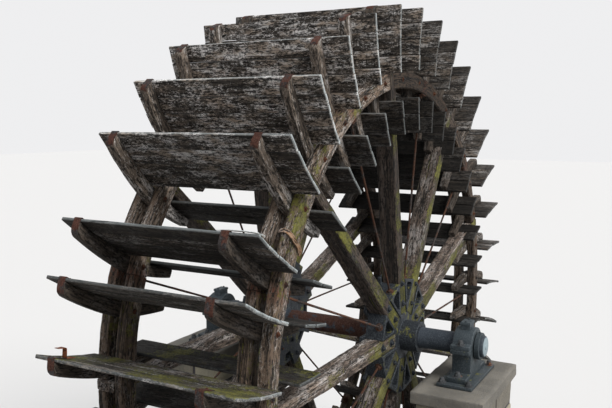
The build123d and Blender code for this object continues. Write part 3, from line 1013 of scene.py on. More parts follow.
def iron_material(
    name, finish, rust, moss=0.0, scale=6.0, relief=0.003, fresh="rust_light", bare_rust=0.0
):
    """Painted or bare iron with rust, more of it on bare stretches, and moss where it is damp."""
    material, desk, shader = new_material(name)
    place = desk.put("ShaderNodeTexCoord").outputs
    bare = desk.layer("bare")
    iron = group_node(desk, "Rusted Iron", {
        "Place": place["Object"], "Tint": desk.layer("tint"), "Finish": paint(finish),
        "Old Rust": paint("rust_dark"), "Fresh Rust": paint(fresh), "Scale": scale,
        "Amount": desk.scaled(bare, bare_rust, rust) if bare_rust else rust,
        "Worn": 0.0 if bare_rust else bare,
    })
    surface = grow_moss(desk, place, iron, moss, 5.0) if moss else iron
    join_surface(desk, shader, surface, iron["Roughness"], relief)
    desk.feed(shader, {"Metallic": iron["Metallic"], "Specular IOR Level": 0.22})
    return material


def stone_material(name, stone, damp, moss):
    """Stone with moss low down."""
    material, desk, shader = new_material(name)
    place = desk.put("ShaderNodeTexCoord").outputs
    rock = group_node(desk, "Rough Stone", {
        "Place": place["Object"], "Tint": desk.layer("tint"), "Stone": paint(stone),
        "Damp": damp,
    })
    join_surface(desk, shader, grow_moss(desk, place, rock, moss, 1.8), rock["Roughness"], 0.012)
    return material


OAKS = {
    "oak_planks": dict(brightness=1.0, bleach=1.0, cracks=0.8, moss=0.12, runs=1.0),
    # The inner planks are the plank oak drawn darker, as painted shade inside the wheel.
    "oak_inner_planks": dict(brightness=0.42, bleach=0.40, cracks=0.8, moss=0.12),
    "oak_starts": dict(
        brightness=1.15, bleach=0.60, cracks=0.6, moss=0.12, moss_scale=2.2,
        brown=(0.120, 0.094, 0.074),
    ),
    "oak_spokes": dict(
        brightness=1.2, bleach=0.42, cracks=1.0, moss=0.28, moss_scale=2.0,
        brown=(0.115, 0.085, 0.068), relief=0.009, across=0.25,
    ),
    "oak_felloes": dict(
        brightness=1.3, bleach=0.50, cracks=1.0, moss=0.40, moss_scale=2.8,
        brown=(0.160, 0.112, 0.080), relief=0.012, across=0.12,
    ),
    "oak_torn": dict(
        brightness=1.0, bleach=1.0, cracks=0.5, moss=0.0, brown=(0.30, 0.22, 0.14)
    ),
    "oak_sliver": dict(
        brightness=1.1, bleach=0.5, cracks=0.4, moss=0.0, brown=(0.34, 0.19, 0.100)
    ),
}

IRONS = {
    "strap_iron": dict(
        finish=(0.022, 0.015, 0.013), rust=0.60, scale=9.0, relief=0.004,
        fresh=(0.115, 0.050, 0.036),
    ),
    "bolt_iron": dict(
        finish=(0.020, 0.016, 0.014), rust=0.60, moss=0.1, scale=9.0, fresh=(0.13, 0.055, 0.028)
    ),
    "rod_iron": dict(
        finish=(0.026, 0.017, 0.013), rust=0.62, moss=0.06, scale=7.0,
        fresh=(0.095, 0.048, 0.028),
    ),
    "hub_iron": dict(finish="iron_dark", rust=0.12, moss=0.46, scale=4.0, relief=0.005),
    "hub_bolt_iron": dict(
        finish="iron_dark", rust=0.30, moss=0.25, scale=8.0, fresh=(0.16, 0.065, 0.03)
    ),
    "shaft_iron": dict(
        finish=(0.030, 0.038, 0.050), rust=0.08, scale=9.0, relief=0.002,
        fresh=(0.095, 0.052, 0.040), bare_rust=0.60,
    ),
    "collar_iron": dict(finish="iron_grey", rust=0.16, relief=0.002),
    "end_disc_iron": dict(finish=(0.27, 0.33, 0.36), rust=0.10, relief=0.002),
    "bearing_paint": dict(finish="iron_grey", rust=0.12, moss=0.36, scale=5.0, relief=0.004),
    "cap_paint": dict(
        finish=(0.040, 0.052, 0.060), rust=0.12, moss=0.10, scale=5.0, relief=0.004
    ),
    "plate_iron": dict(
        finish=(0.040, 0.050, 0.056), rust=0.34, moss=0.38, scale=4.0, relief=0.004
    ),
    "bearing_bolt_iron": dict(finish=(0.050, 0.052, 0.055), rust=0.34, moss=0.12, scale=9.0),
    "torn_strap_iron": dict(finish="rust_dark", rust=0.85, scale=9.0, fresh=(0.30, 0.10, 0.04)),
}

STONES = {
    "pier_stone": dict(stone="stone", damp=0.42, moss=0.32),
    "cap_stone": dict(stone=(0.36, 0.34, 0.30), damp=0.35, moss=0.25),
}


def finish_for(name):
    """Material by its name in the tables, made when it is first asked for."""
    if bpy.data.materials.get(name):
        return bpy.data.materials[name]
    for table, maker in ((OAKS, oak_material), (IRONS, iron_material), (STONES, stone_material)):
        if name in table:
            return maker(name, **table[name])
    raise KeyError(f"No finish is called {name}")


def plank_stations(sizes, angle, low, high, y_low, y_high, rng):
    """Stations of one plank along the shaft, between two radii of a paddle."""
    thickness = sizes.plank_thickness
    front_low, front_high, back_low, back_high = [
        Vector((radius, board_height(sizes, radius, depth)))
        for depth in (0.0, thickness) for radius in (low, high)
    ]
    middle = (front_low + front_high + back_low + back_high) / 4
    run = ((front_high - front_low) + (back_high - back_low)) / 2
    width = run.length
    run = run.normalized()
    u = outward(angle) * run.x + upward(angle) * run.y
    w = outward(angle) * -run.y + upward(angle) * run.x
    centre = AXLE + outward(angle) * middle.x + upward(angle) * middle.y
    thick = 0.5 * thickness * rng.uniform(0.90, 0.98)
    low_y = y_low + rng.uniform(0.0, PLANK_END_PLAY)
    high_y = y_high - rng.uniform(0.0, PLANK_END_PLAY)
    bow = rng.uniform(-PLANK_BOW, PLANK_BOW)
    # Pale plank ends by angle: bleaching with a painted highlight where the light falls.
    bleach = by_angle(angle, EDGE_BLEACH_AND_HIGHLIGHT)
    stations = []
    for y in rounded_run(low_y, high_y, 24, 0.004):
        end = min(y - low_y, high_y - y)
        shrink = PLANK_ARRIS if end < 1e-6 else 0.0
        lift = bow * sin(pi * (y - low_y) / (high_y - low_y))
        stations.append(Station(
            centre + ALONG_SHAFT * y + w * lift, u, w,
            0.5 * (width - sizes.plank_gap) - shrink, thick - shrink, y,
            bleach if end < 1e-6 else 0.6 * bleach if end < 0.005 else 0.0,
        ))
    return stations


def make_planks(sizes, kind, sector, inner, outer, rows, material):
    """Planks of the paddles in one sector, in rows between two radii."""
    node = f"{kind}_boards_{sector + 1}"
    low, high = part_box(node)
    edges = [mix(inner, outer, step / rows) for step in range(rows + 1)]
    angles = paddle_angles(sizes)
    first = sector * PADDLES_IN_SECTOR
    mesh = PieceMesh()
    for index in range(first, first + PADDLES_IN_SECTOR):
        angle = angles[index]
        for row in range(rows):
            seed = index * 40 + row * 7 + int(inner * 10)
            rng = random.Random(seed)
            tip = row == rows - 1
            # Tip bleach with a painted highlight, and tone with painted light and shade, both by
            # the paddle's angle.
            add_timber(
                mesh, plank_stations(sizes, angle, *edges[row:row + 2], low.y, high.y, rng),
                PLANK._replace(
                    bare_u=by_angle(angle, TIP_BLEACH_AND_HIGHLIGHT) if tip else PLANK_EDGE_BLEACH, seed=seed,
                    shade=by_angle(angle, PLANK_TONE_AND_PAINTED_LIGHT),
                    green=MOSSY_PADDLE_GREEN if index == MOSSY_PADDLE else 0.0,
                ),
            )
    return mesh.make(f"{kind}_planks_{sector + 1}", material, WHEEL, [node])


def cut_spoke_seats(sizes, piece):
    """Cuts the seats of the spokes out of the planks that reach into them."""
    work = bmesh.new()
    low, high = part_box("spokes_near")
    for angle in spoke_angles(sizes):
        for y in (0.5 * (low.y + high.y), -0.5 * (low.y + high.y)):
            for vert in bmesh.ops.create_cube(work, size=1.0)["verts"]:
                radius = SPOKE_SEAT_MIDDLE + vert.co.x
                height = vert.co.z * (spoke_width(sizes, radius) + SPOKE_SEAT_PLAY)
                depth = vert.co.y * (high.y - low.y + SPOKE_SEAT_PLAY)
                vert.co = wheel_point(angle, radius, height, y + depth)
    bmesh.ops.recalc_face_normals(work, faces=work.faces[:])
    cutter_mesh = bpy.data.meshes.new("spoke_seats")
    work.to_mesh(cutter_mesh)
    work.free()
    cutter = bpy.data.objects.new("spoke_seats", cutter_mesh)
    bpy.context.scene.collection.objects.link(cutter)
    change = piece.modifiers.new("seats", "BOOLEAN")
    change.operation = "DIFFERENCE"
    change.solver = "EXACT"
    change.object = cutter
    graph = bpy.context.evaluated_depsgraph_get()
    result = bpy.data.meshes.new_from_object(piece.evaluated_get(graph))
    piece.modifiers.clear()
    piece.data = result
    bpy.data.objects.remove(cutter)


class WHEEL_OT_outer_planks(bpy.types.Operator):
    """Planks of the paddles from the rim to the tips"""

    bl_idname = "mill_wheel.outer_planks"
    bl_label = "Outer Planks"

    def execute(self, context):
        sizes = context.scene.wheel_sizes
        inner, outer = sizes.outer_from, sizes.tip_radius
        material = finish_for("oak_planks")
        for sector in range(sizes.spoke_count):
            make_planks(sizes, "outer", sector, inner, outer, OUTER_ROWS, material)
        return {"FINISHED"}


class WHEEL_OT_inner_planks(bpy.types.Operator):
    """Planks of the paddles inside the rim, cut short of a spoke that stands in their way"""

    bl_idname = "mill_wheel.inner_planks"
    bl_label = "Inner Planks"

    def execute(self, context):
        sizes = context.scene.wheel_sizes
        inner, outer = sizes.inner_from, sizes.inner_to
        # Darker oak: painted shade inside the wheel.
        material = finish_for("oak_inner_planks")
        for sector in range(sizes.spoke_count):
            piece = make_planks(sizes, "inner", sector, inner, outer, INNER_ROWS, material)
            cut_spoke_seats(sizes, piece)
        return {"FINISHED"}


def make_both_sides(sizes, kind, name, finish, angles, add):
    """Near and far piece of one kind, with what add puts at each angle."""
    material = finish_for(finish)
    for side in SIDES:
        node = f"{kind}_{side}"
        low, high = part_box(node)
        mesh = PieceMesh()
        for index, angle in enumerate(angles):
            add(sizes, mesh, index, angle, low.y, high.y)
        mesh.make(f"{name}_{side}", material, WHEEL, [node])


class WHEEL_OT_starts(bpy.types.Operator):
    """Curved starts that carry the planks, clamped in the slots of both rims"""

    bl_idname = "mill_wheel.starts"
    bl_label = "Starts"

    def execute(self, context):
        sizes = context.scene.wheel_sizes
        make_both_sides(
            sizes, "starts", "start_timbers", "oak_starts",
            paddle_angles(sizes), add_start,
        )
        return {"FINISHED"}


def add_start(sizes, mesh, index, angle, y_low, y_high):
    """One start, swept from its tail to its rounded nose."""
    y, thickness = 0.5 * (y_low + y_high), y_high - y_low
    tip = sizes.tip_radius - START_SHORT_OF_TIP
    neck = tip - START_NOSE
    radii = rounded_run(sizes.inner_from, neck, 20, 0.006)[:-3]
    radii += [tip - START_NOSE * (1.0 - sin(0.5 * pi * step / 5)) for step in range(6)]
    stations = []
    for radius in radii:
        top = board_height(sizes, radius, sizes.plank_thickness) - 0.001
        low = top - start_depth(sizes, radius)
        if radius > neck:
            part = (radius - neck) / START_NOSE
            low += START_NOSE * (1.0 - sqrt(max(0.0, 1.0 - part**2)))
        shrink = ARRIS if radius in (radii[0], radii[-1]) else 0.0
        stations.append(Station(
            wheel_point(angle, radius, 0.5 * (top + low), y), ALONG_SHAFT, upward(angle),
            0.5 * thickness - shrink, 0.5 * (top - low) - shrink, radius,
        ))
    # Shade by angle: tone with painted light and shade, darker on the shaded side of the wheel.
    shade = by_angle(angle, START_TONE_AND_PAINTED_LIGHT)
    add_timber(mesh, stations, START._replace(seed=900 + index, shade=shade))


class WHEEL_OT_tip_straps(bpy.types.Operator):
    """Rusty straps over the paddle tips, with their nails"""

    bl_idname = "mill_wheel.tip_straps"
    bl_label = "Tip Straps"

    def execute(self, context):
        sizes = context.scene.wheel_sizes
        make_both_sides(
            sizes, "tip_straps", "strap_irons", "strap_iron",
            paddle_angles(sizes), add_tip_strap,
        )
        return {"FINISHED"}


def add_tip_strap(sizes, mesh, index, angle, y_low, y_high):
    """Strap that lies on the last plank, turns over the tip and runs down the nose."""
    y = 0.5 * (y_low + y_high)
    tip = sizes.tip_radius
    edge = mix(sizes.outer_from, tip, 0.75)
    front = board_height(sizes, tip, 0.0)
    slope = (front - board_height(sizes, edge, 0.0)) / (tip - edge)
    bottom = board_height(sizes, tip, sizes.plank_thickness) - sizes.start_tip_depth
    on_plank = (0.150, 0.110, 0.070, 0.030, 0.008)
    over_tip = ((0.001, -0.004), (0.001, -0.035), (0.001, -0.075))
    down_nose = (
        (0.0, 0.058), (-0.010, 0.026), (-0.032, 0.006),
        (-0.060, -0.004), (-0.100, -0.007), (-0.150, -0.011),
    )
    outline = [(tip - back, front - slope * back + 0.001) for back in on_plank]
    outline += [(tip + ahead, front + rise) for ahead, rise in over_tip]
    outline += [(tip + ahead, bottom + rise) for ahead, rise in down_nose]
    path = [wheel_point(angle, radius, height, 0.0) for radius, height in outline]
    add_band(mesh, path, y, sizes.strap_width, sizes.strap_thickness, index + 3)
    nail = wheel_point(angle, tip - 0.095, front - slope * 0.095 + sizes.strap_thickness, y)
    add_bolt(mesh, nail, upward(angle), STRAP_NAIL, index)
    under = wheel_point(angle, tip - 0.115, bottom - 0.009 - sizes.strap_thickness, y)
    add_bolt(mesh, under, -upward(angle), STRAP_NUT, index + 50)


class WHEEL_OT_spokes(bpy.types.Operator):
    """Spokes, straight in their sockets and then tapering to the rim"""

    bl_idname = "mill_wheel.spokes"
    bl_label = "Spokes"

    def execute(self, context):
        sizes = context.scene.wheel_sizes
        make_both_sides(
            sizes, "spokes", "spoke_timbers", "oak_spokes",
            spoke_angles(sizes), add_spoke,
        )
        return {"FINISHED"}


def add_spoke(sizes, mesh, index, angle, y_low, y_high):
    """One spoke, with most of its moss at the foot."""
    y, thickness = 0.5 * (y_low + y_high), y_high - y_low
    stations = []
    for radius in rounded_run(sizes.spoke_inner, sizes.rim_outer, 44, 0.006):
        shrink = ARRIS if radius in (sizes.spoke_inner, sizes.rim_outer) else 0.0
        out = (radius - sizes.spoke_inner) / SPOKE_FOOT_REACH
        stations.append(Station(
            wheel_point(angle, radius, 0.0, y), upward(angle), ALONG_SHAFT,
            0.5 * spoke_width(sizes, radius) - shrink, 0.5 * thickness - shrink, radius,
            green=SPOKE_FOOT_GREEN * max(0.0, 1.0 - out),
        ))
    # Shade spoke by spoke: tone with painted light and shade.
    add_timber(mesh, stations, SPOKE._replace(
        seed=300 + index, shade=SPOKE_TONE_AND_PAINTED_LIGHT[index % len(SPOKE_TONE_AND_PAINTED_LIGHT)],
        green=SPOKE_GREEN[index % len(SPOKE_GREEN)],
    ))


class WHEEL_OT_felloes(bpy.types.Operator):
    """Both rings of felloes in each rim, with the bolts that clamp the starts"""

    bl_idname = "mill_wheel.felloes"
    bl_label = "Felloes"

    def execute(self, context):
        sizes = context.scene.wheel_sizes
        material = finish_for("oak_felloes")
        bolt_material = finish_for("bolt_iron")
        beside_spoke = asin((0.5 * sizes.spoke_rim_width + 0.006) / sizes.rim_outer)
        step = 2 * pi / sizes.spoke_count
        rings = (
            ("outer", spoke_angles(sizes), beside_spoke), ("inner", rod_angles(sizes), 0.0005)
        )
        for side in SIDES:
            for ring, starts, trim in rings:
                node = f"{ring}_felloes_{side}"
                low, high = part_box(node)
                mesh = PieceMesh()
                for index, first in enumerate(starts):
                    last = first + step - trim
                    add_felloe(sizes, mesh, first + trim, last, low.y, high.y, 505 + index * 3)
                mesh.make(f"{ring}_ring_{side}", material, WHEEL, [node])
            add_rim_bolts(sizes, side, bolt_material)
        return {"FINISHED"}


def add_felloe(sizes, mesh, first, last, y_low, y_high, seed):
    """One felloe, swept along its arc and stained by rust beside a tie rod."""
    middle = 0.5 * (sizes.rim_inner + sizes.rim_outer)
    run = rounded_run(first, last, 38, ARRIS / middle)
    rods = rod_angles(sizes)
    stations = []
    for angle in run:
        shrink = ARRIS if angle in (run[0], run[-1]) else 0.0
        off_rod = min(abs(angle - rod + turn) for rod in rods for turn in (-2 * pi, 0.0, 2 * pi))
        stations.append(Station(
            wheel_point(angle, middle, 0.0, 0.5 * (y_low + y_high)), outward(angle), ALONG_SHAFT,
            0.5 * (sizes.rim_outer - sizes.rim_inner) - 0.003 - shrink,
            0.5 * (y_high - y_low) - 0.002 - shrink, angle * middle,
            stain=max(0.0, 1.0 - off_rod * middle / FELLOE_STAIN_REACH),
        ))
    # Shade by angle: painted shade darkens the felloes of the far arch, over some real tone.
    centre = 0.5 * (first + last)
    add_timber(mesh, stations, FELLOE._replace(
        seed=seed, shade=by_angle(centre, FELLOE_TONE_AND_PAINTED_LIGHT), green=by_angle(centre, FELLOE_GREEN)
    ))


def add_rim_bolts(sizes, side, material):
    """Square nuts on both faces of a rim, two for each start."""
    outer_low, outer_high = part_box(f"outer_felloes_{side}")
    inner_low, inner_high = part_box(f"inner_felloes_{side}")
    faces = (outer_low.y, inner_high.y) if side == "near" else (inner_low.y, outer_high.y)
    foot = board_height(sizes, sizes.arc_foot, sizes.plank_thickness)
    height = foot - 0.5 * sizes.start_rim_depth
    mesh = PieceMesh()
    for index, angle in enumerate(paddle_angles(sizes)):
        for face, direction in zip(faces, (-1, 1)):
            place = wheel_point(angle, sizes.arc_foot, height, face - direction * SUNK)
            add_bolt(mesh, place, ALONG_SHAFT * direction, RIM_NUT, index * 2 + direction)
    mesh.make(f"rim_bolts_{side}", material, WHEEL)


class WHEEL_OT_tie_rods(bpy.types.Operator):
    """Rods between hub and rim, with their nuts and plates"""

    bl_idname = "mill_wheel.tie_rods"
    bl_label = "Tie Rods"

    def execute(self, context):
        sizes = context.scene.wheel_sizes
        make_both_sides(
            sizes, "tie_rods", "rod_irons", "rod_iron",
            rod_angles(sizes), add_tie_rod,
        )
        return {"FINISHED"}


def add_tie_rod(sizes, mesh, index, angle, y_low, y_high):
    """One rod, with its nut on the hub's wall and its plate and nut inside the rim."""
    y = 0.5 * (y_low + y_high)
    axis = outward(angle)
    begin = sizes.hub_wall - ROD_INTO_WALL
    end = sizes.rim_inner - ROD_SHORT_OF_RIM
    run = [mix(begin, end, step / 24) for step in range(25)]
    on_near_side = y < AXLE.y
    tint = OCHRE_TINT if on_near_side and index == OCHRE_ROD else 0.5
    add_rod(mesh, angle, run, y, sizes.rod_radius, index, tint)
    add_bolt(mesh, wheel_point(angle, sizes.hub_wall - SUNK, 0.0, y), axis, ROD_HUB_NUT, index)
    foot = wheel_point(angle, end - ROD_PLATE_DEPTH, 0.0, y)
    plate = polygon(ROD_PLATE_REACH, 4, pi / 4)
    heights = [(0.0, 0.94), (0.002, 1.0), (0.009, 1.0), (0.012, 0.97)]
    add_prism(mesh, plate, foot, axis, ALONG_SHAFT, heights, 0.4)
    add_bolt(mesh, foot, -axis, ROD_RIM_NUT, index + 20)


def add_rod(mesh, angle, run, y, radius, seed, tint):
    """A slightly bent rod along a radius."""
    side = upward(angle)
    rings = []
    for place in run:
        part = (place - run[0]) / (run[-1] - run[0])
        sway = 0.008 * sin(pi * part) * noise.noise(Vector((seed * 3.1, part * 2.0, 0.0)))
        centre = wheel_point(angle, place, sway, y + 0.5 * sway)
        ring = []
        for step in range(12):
            turn = 2 * pi * step / 12
            way = side * cos(turn) + ALONG_SHAFT * sin(turn)
            swell = 0.0015 * noise.noise(Vector((place * 20.0, seed, turn)))
            grain = Vector((place, turn * radius, seed))
            ring.append(mesh.point(centre + way * (radius + swell), grain, tint))
        rings.append(ring)
    mesh.rings(rings, side.cross(ALONG_SHAFT).dot(outward(angle)) < 0)


class WHEEL_OT_hubs(bpy.types.Operator):
    """Cast hubs with bolts through their sockets"""

    bl_idname = "mill_wheel.hubs"
    bl_label = "Hubs"

    def execute(self, context):
        sizes = context.scene.wheel_sizes
        material = finish_for("hub_iron")
        bolts = finish_for("hub_bolt_iron")
        for side in SIDES:
            casting(f"hub_{side}", f"hub_casting_{side}", material, WHEEL, 0.010, 3)
            low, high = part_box(f"spokes_{side}")
            sign = -1.0 if side == "near" else 1.0
            front, back = (low.y, high.y) if side == "near" else (high.y, low.y)
            mesh = PieceMesh()
            for index, angle in enumerate(spoke_angles(sizes)):
                for radius in HUB_BOLT_RADII:
                    seed = index * 4 + int(radius * 10)
                    place = wheel_point(angle, radius, 0.0, front - sign * HUB_NUT_SUNK)
                    add_bolt(mesh, place, ALONG_SHAFT * sign, HUB_FRONT_NUT, seed)
                    behind = back - sign * HUB_BACK_PLATE + sign * SUNK
                    place = wheel_point(angle, radius, 0.0, behind)
                    add_bolt(mesh, place, ALONG_SHAFT * -sign, HUB_BACK_NUT, seed + 70)
            mesh.make(f"hub_bolts_{side}", bolts, WHEEL)
        return {"FINISHED"}


class WHEEL_OT_shaft(bpy.types.Operator):
    """Wheel shaft with its seats and journals, and the collars at its ends"""

    bl_idname = "mill_wheel.shaft"
    bl_label = "Shaft"

    def execute(self, context):
        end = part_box("shaft")[1].y
        mesh = PieceMesh()
        add_lathe(mesh, shaft_profile(end), AXLE, ALONG_SHAFT, 72, 0.5, 0.0, 5)
        mesh.make("shaft_bar", finish_for("shaft_iron"), WHEEL, ["shaft"])
        inner, outer = COLLAR_INNER_FACE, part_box("end_collars")[1].y
        ring = [
            (inner, COLLAR_BORE), (inner, COLLAR_EDGE), (inner + 0.005, COLLAR_RADIUS),
            (outer - 0.006, COLLAR_RADIUS), (outer, COLLAR_EDGE), (outer, COLLAR_BORE),
        ]
        disc = [
            (0.0, 0.112), (0.006, 0.112), (0.009, 0.108), (0.009, 0.034), (0.014, 0.032),
            (0.016, 0.026),
        ]
        collars = PieceMesh()
        discs = PieceMesh()
        for sign in (-1.0, 1.0):
            add_collar(collars, ring, sign)
            place = AXLE + ALONG_SHAFT * (sign * (0.5 * (inner + outer)))
            add_bolt(collars, place + UP * 0.156, UP, COLLAR_SCREW, 7)
            middle = AXLE + ALONG_SHAFT * (sign * (end - SUNK))
            add_lathe(discs, disc, middle, ALONG_SHAFT * sign, 48, 0.9)
        dark = finish_for("collar_iron")
        collars.make("end_collar_rings", dark, WHEEL, ["end_collars"])
        discs.make("shaft_end_discs", finish_for("end_disc_iron"), WHEEL)
        return {"FINISHED"}


def shaft_profile(end):
    """Profile of the whole shaft as (along, radius, bareness), from its middle's measures."""
    hub_low, hub_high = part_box("hub_near")
    back, front = -hub_high.y, -hub_low.y
    seat, plain, journal = SEAT_RADIUS, PLAIN_RADIUS, JOURNAL_RADIUS
    half = [
        (0.0, plain, 1.0), (0.35, plain, 1.0), (back - 0.06, plain + 0.002, 1.0),
        (back - 0.02, plain + 0.002, 0.6), (back - 0.004, seat - 0.004, 0.0), (back, seat, 0.0),
        (front, seat, 0.0), (front + 0.008, seat, 0.0), (front + 0.012, journal, 0.0),
        (front + 0.2, journal - 0.001, 0.0), (front + 0.4, journal - 0.001, 0.0),
        (end - 0.012, journal, 0.0), (end - 0.004, journal - 0.004, 0.0),
        (end, journal - 0.012, 0.0),
    ]
    return [(-place, radius, bare) for place, radius, bare in reversed(half[1:])] + half


def add_collar(mesh, outline, sign):
    """Ring turned round the shaft from a closed outline of (along, radius)."""
    segments = 64
    rings = []
    for step in range(segments):
        turn = 2 * pi * step / segments
        way = Vector((cos(turn), 0.0, sin(turn)))
        ring = []
        for along, radius in outline:
            place = AXLE + ALONG_SHAFT * (sign * along) + way * radius
            ring.append(mesh.point(place, Vector((along, turn * radius, sign)), 0.7))
        rings.append(ring)
    for low, high in zip(rings, rings[1:] + rings[:1]):
        mesh.skin(low, high, sign < 0)


class WHEEL_OT_bearings(bpy.types.Operator):
    """Plummer blocks with their bolts and sole plates"""

    bl_idname = "mill_wheel.bearings"
    bl_label = "Bearings"

    def execute(self, context):
        base_paint, cap_paint = finish_for("bearing_paint"), finish_for("cap_paint")
        plate_iron, bolt_iron = finish_for("plate_iron"), finish_for("bearing_bolt_iron")
        for side in SIDES:
            for node, name, material, width, segments in (
                ("bearing_base", "block_base", base_paint, 0.008, 3),
                ("bearing_cap", "block_cap", cap_paint, 0.008, 3),
                ("sole_plate", "sole_iron", plate_iron, 0.005, 2),
            ):
                casting(
                    f"{node}_{side}", f"{name}_{side}", material, PIERS,
                    width, segments,
                )
            mesh = PieceMesh()
            for index, spot in enumerate(block_bolt_spots(side)):
                bolt = BASE_NUT if index in (2, 3) else BLOCK_NUT
                add_bolt(mesh, Vector(spot) - UP * SUNK, UP, bolt, index + 11)
            nodes = [f"bearing_bolts_{side}"]
            mesh.make(f"block_bolts_{side}", bolt_iron, PIERS, nodes)
            add_oil_lid(side, cap_paint)
        return {"FINISHED"}


def block_bolt_spots(side):
    """Where a plummer block's nuts stand: two on its cap, two on its base, four on the plate."""
    sole_low, sole_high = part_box(f"sole_plate_{side}")
    base_low, base_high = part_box(f"bearing_base_{side}")
    cap_low, cap_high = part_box(f"bearing_cap_{side}")
    middle = 0.5 * (base_low.y + base_high.y)
    spots = [
        (x, middle, cap_low.z + CAP_NUT_UP)
        for x in (cap_low.x + CAP_NUT_IN, cap_high.x - CAP_NUT_IN)
    ]
    spots += [
        (x, middle, base_low.z + BASE_NUT_UP)
        for x in (base_low.x + BASE_NUT_IN, base_high.x - BASE_NUT_IN)
    ]
    spots += [
        (x, y, sole_high.z)
        for x in (sole_low.x + SOLE_NUT_IN, sole_high.x - SOLE_NUT_IN)
        for y in (sole_low.y + SOLE_NUT_IN, sole_high.y - SOLE_NUT_IN)
    ]
    return spots


def add_oil_lid(side, material):
    """Lid box over the oil cup, with its two screws."""
    base_low, base_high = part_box(f"bearing_base_{side}")
    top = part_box(f"bearing_cap_{side}")[1].z
    place = Vector((0.0, 0.5 * (base_low.y + base_high.y), top - LID_DEPTH))
    a, b = LID_HALF_LENGTH, LID_HALF_WIDTH
    outline = ((-a, -b), (a, -b), (a, b), (-a, b))
    heights = [(0.0, 0.92), (0.052, 0.90), (0.056, 1.0), (0.076, 1.0), (0.086, 0.94)]
    lid = PieceMesh()
    add_prism(lid, outline, place, UP, ACROSS_WHEEL, heights, 0.6)
    for x in (-0.070, 0.070):
        add_bolt(lid, place + Vector((x, 0.0, LID_DEPTH)), UP, LID_SCREW, 31)
    lid.make(f"oil_lid_{side}", material, PIERS)


def add_block(mesh, low, high, seed, rough, corner, cells, batter=0.0, tint=None):
    """Rough stone block between two corners, drawn in by a batter at its top."""
    rng = random.Random(seed)
    tint = rng.random() if tint is None else tint
    shift = Vector([rng.uniform(-20.0, 20.0) for _ in range(3)])
    half = Vector([0.5 * (b - a) for a, b in zip(low, high)])
    middle = Vector([0.5 * (b + a) for a, b in zip(low, high)])
    work = bmesh.new()
    bmesh.ops.create_cube(work, size=2.0)
    bmesh.ops.subdivide_edges(work, edges=work.edges[:], cuts=cells, use_grid_fill=True)
    base = len(mesh.points)
    for vert in work.verts:
        place = Vector([vert.co[axis] * half[axis] for axis in range(3)])
        core = Vector([
            max(-half[axis] + corner, min(half[axis] - corner, place[axis])) for axis in range(3)
        ])
        away = place - core
        if away.length > corner:
            place = core + away.normalized() * corner
        push = noise.noise((place + shift) * 6.0) + 0.5 * noise.noise((place + shift) * 17.0)
        way = Vector((place.x / half.x, place.y / half.y, 0.4 * place.z / half.z))
        place = place - way.normalized() * rough * (0.8 - push)
        drawn = batter * (0.5 + 0.5 * place.z / half.z)
        place.x -= drawn * place.x / half.x
        place.y -= drawn * place.y / half.y
        place = middle + place
        mesh.point(place, place + shift, tint)
    for face in work.faces:
        mesh.faces.append(tuple(base + vert.index for vert in face.verts))
    work.free()


def add_courses(mesh, low, high, side):
    """Courses of blocks with open joints, and the dark core behind them."""
    rng = random.Random(71 if side == "near" else 72)
    first_seed = 500 if side == "near" else 900
    rise = high.z - low.z
    levels = [low.z + rise * step / PIER_COURSES for step in range(PIER_COURSES + 1)]
    for course, (bottom, top) in enumerate(zip(levels, levels[1:])):
        inset = PIER_BATTER * (0.5 * (bottom + top) - low.z) / rise
        parts = 3 if course % 2 else 2
        cuts = []
        for step in range(parts + 1):
            stray = rng.uniform(-0.08, 0.08) if 0 < step < parts else 0
            cuts.append(mix(low.x + inset, high.x - inset, (step + stray) / parts))
        y_low, y_high = low.y + inset, high.y - inset
        for index, (left, right) in enumerate(zip(cuts, cuts[1:])):
            halves = [y_low, mix(y_low, y_high, rng.uniform(0.42, 0.58)), y_high]
            for row, (front, rear) in enumerate(zip(halves, halves[1:])):
                add_block(
                    mesh,
                    (left + STONE_JOINT, front + STONE_JOINT, bottom + STONE_JOINT),
                    (right - STONE_JOINT, rear - STONE_JOINT, top - STONE_JOINT),
                    course * 20 + index * 3 + row + first_seed, 0.008, 0.024, 6,
                )
    add_block(
        mesh, (low.x + CORE_INSET, low.y + CORE_INSET, low.z),
        (high.x - CORE_INSET, high.y - CORE_INSET, high.z), 5, 0.0, 0.01, 1, PIER_BATTER, CORE_TINT,
    )


class WHEEL_OT_piers(bpy.types.Operator):
    """Coursed stone piers with their cap stones"""

    bl_idname = "mill_wheel.piers"
    bl_label = "Piers"

    def execute(self, context):
        stone = finish_for("pier_stone")
        cap = finish_for("cap_stone")
        for side in SIDES:
            pier = PieceMesh()
            low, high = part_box(f"pier_{side}")
            add_courses(pier, low, high, side)
            pier.make(f"pier_stones_{side}", stone, PIERS, [f"pier_{side}"], 60.0)
            slab = PieceMesh()
            low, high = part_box(f"cap_stone_{side}")
            add_block(slab, low, high, 31 if side == "near" else 32, 0.007, 0.022, 13)
            slab.make(f"cap_slab_{side}", cap, PIERS, [f"cap_stone_{side}"], 60.0)
        return {"FINISHED"}


# Bends of the torn strap, as (radius, height over the paddle's face).
TORN_STRAP = (
    (3.760, -0.004), (3.835, 0.001), (3.858, 0.004), (3.866, 0.016), (3.868, 0.055),
    (3.870, 0.092), (3.874, 0.101), (3.886, 0.105), (3.930, 0.104), (3.965, 0.108),
)

# Splinters: bends as (radius, height, distance from the plank's end), half width and thickness.
SPLINTERS = (
    (
        ((3.990, 0.004, 0.02), (3.994, 0.008, 0.14), (3.985, 0.012, 0.30), (3.978, 0.006, 0.46)),
        0.012, 0.007, 61,
    ),
    (((3.950, 0.006, -0.004), (3.945, 0.012, 0.05), (3.930, 0.010, 0.13)), 0.026, 0.008, 62),
)

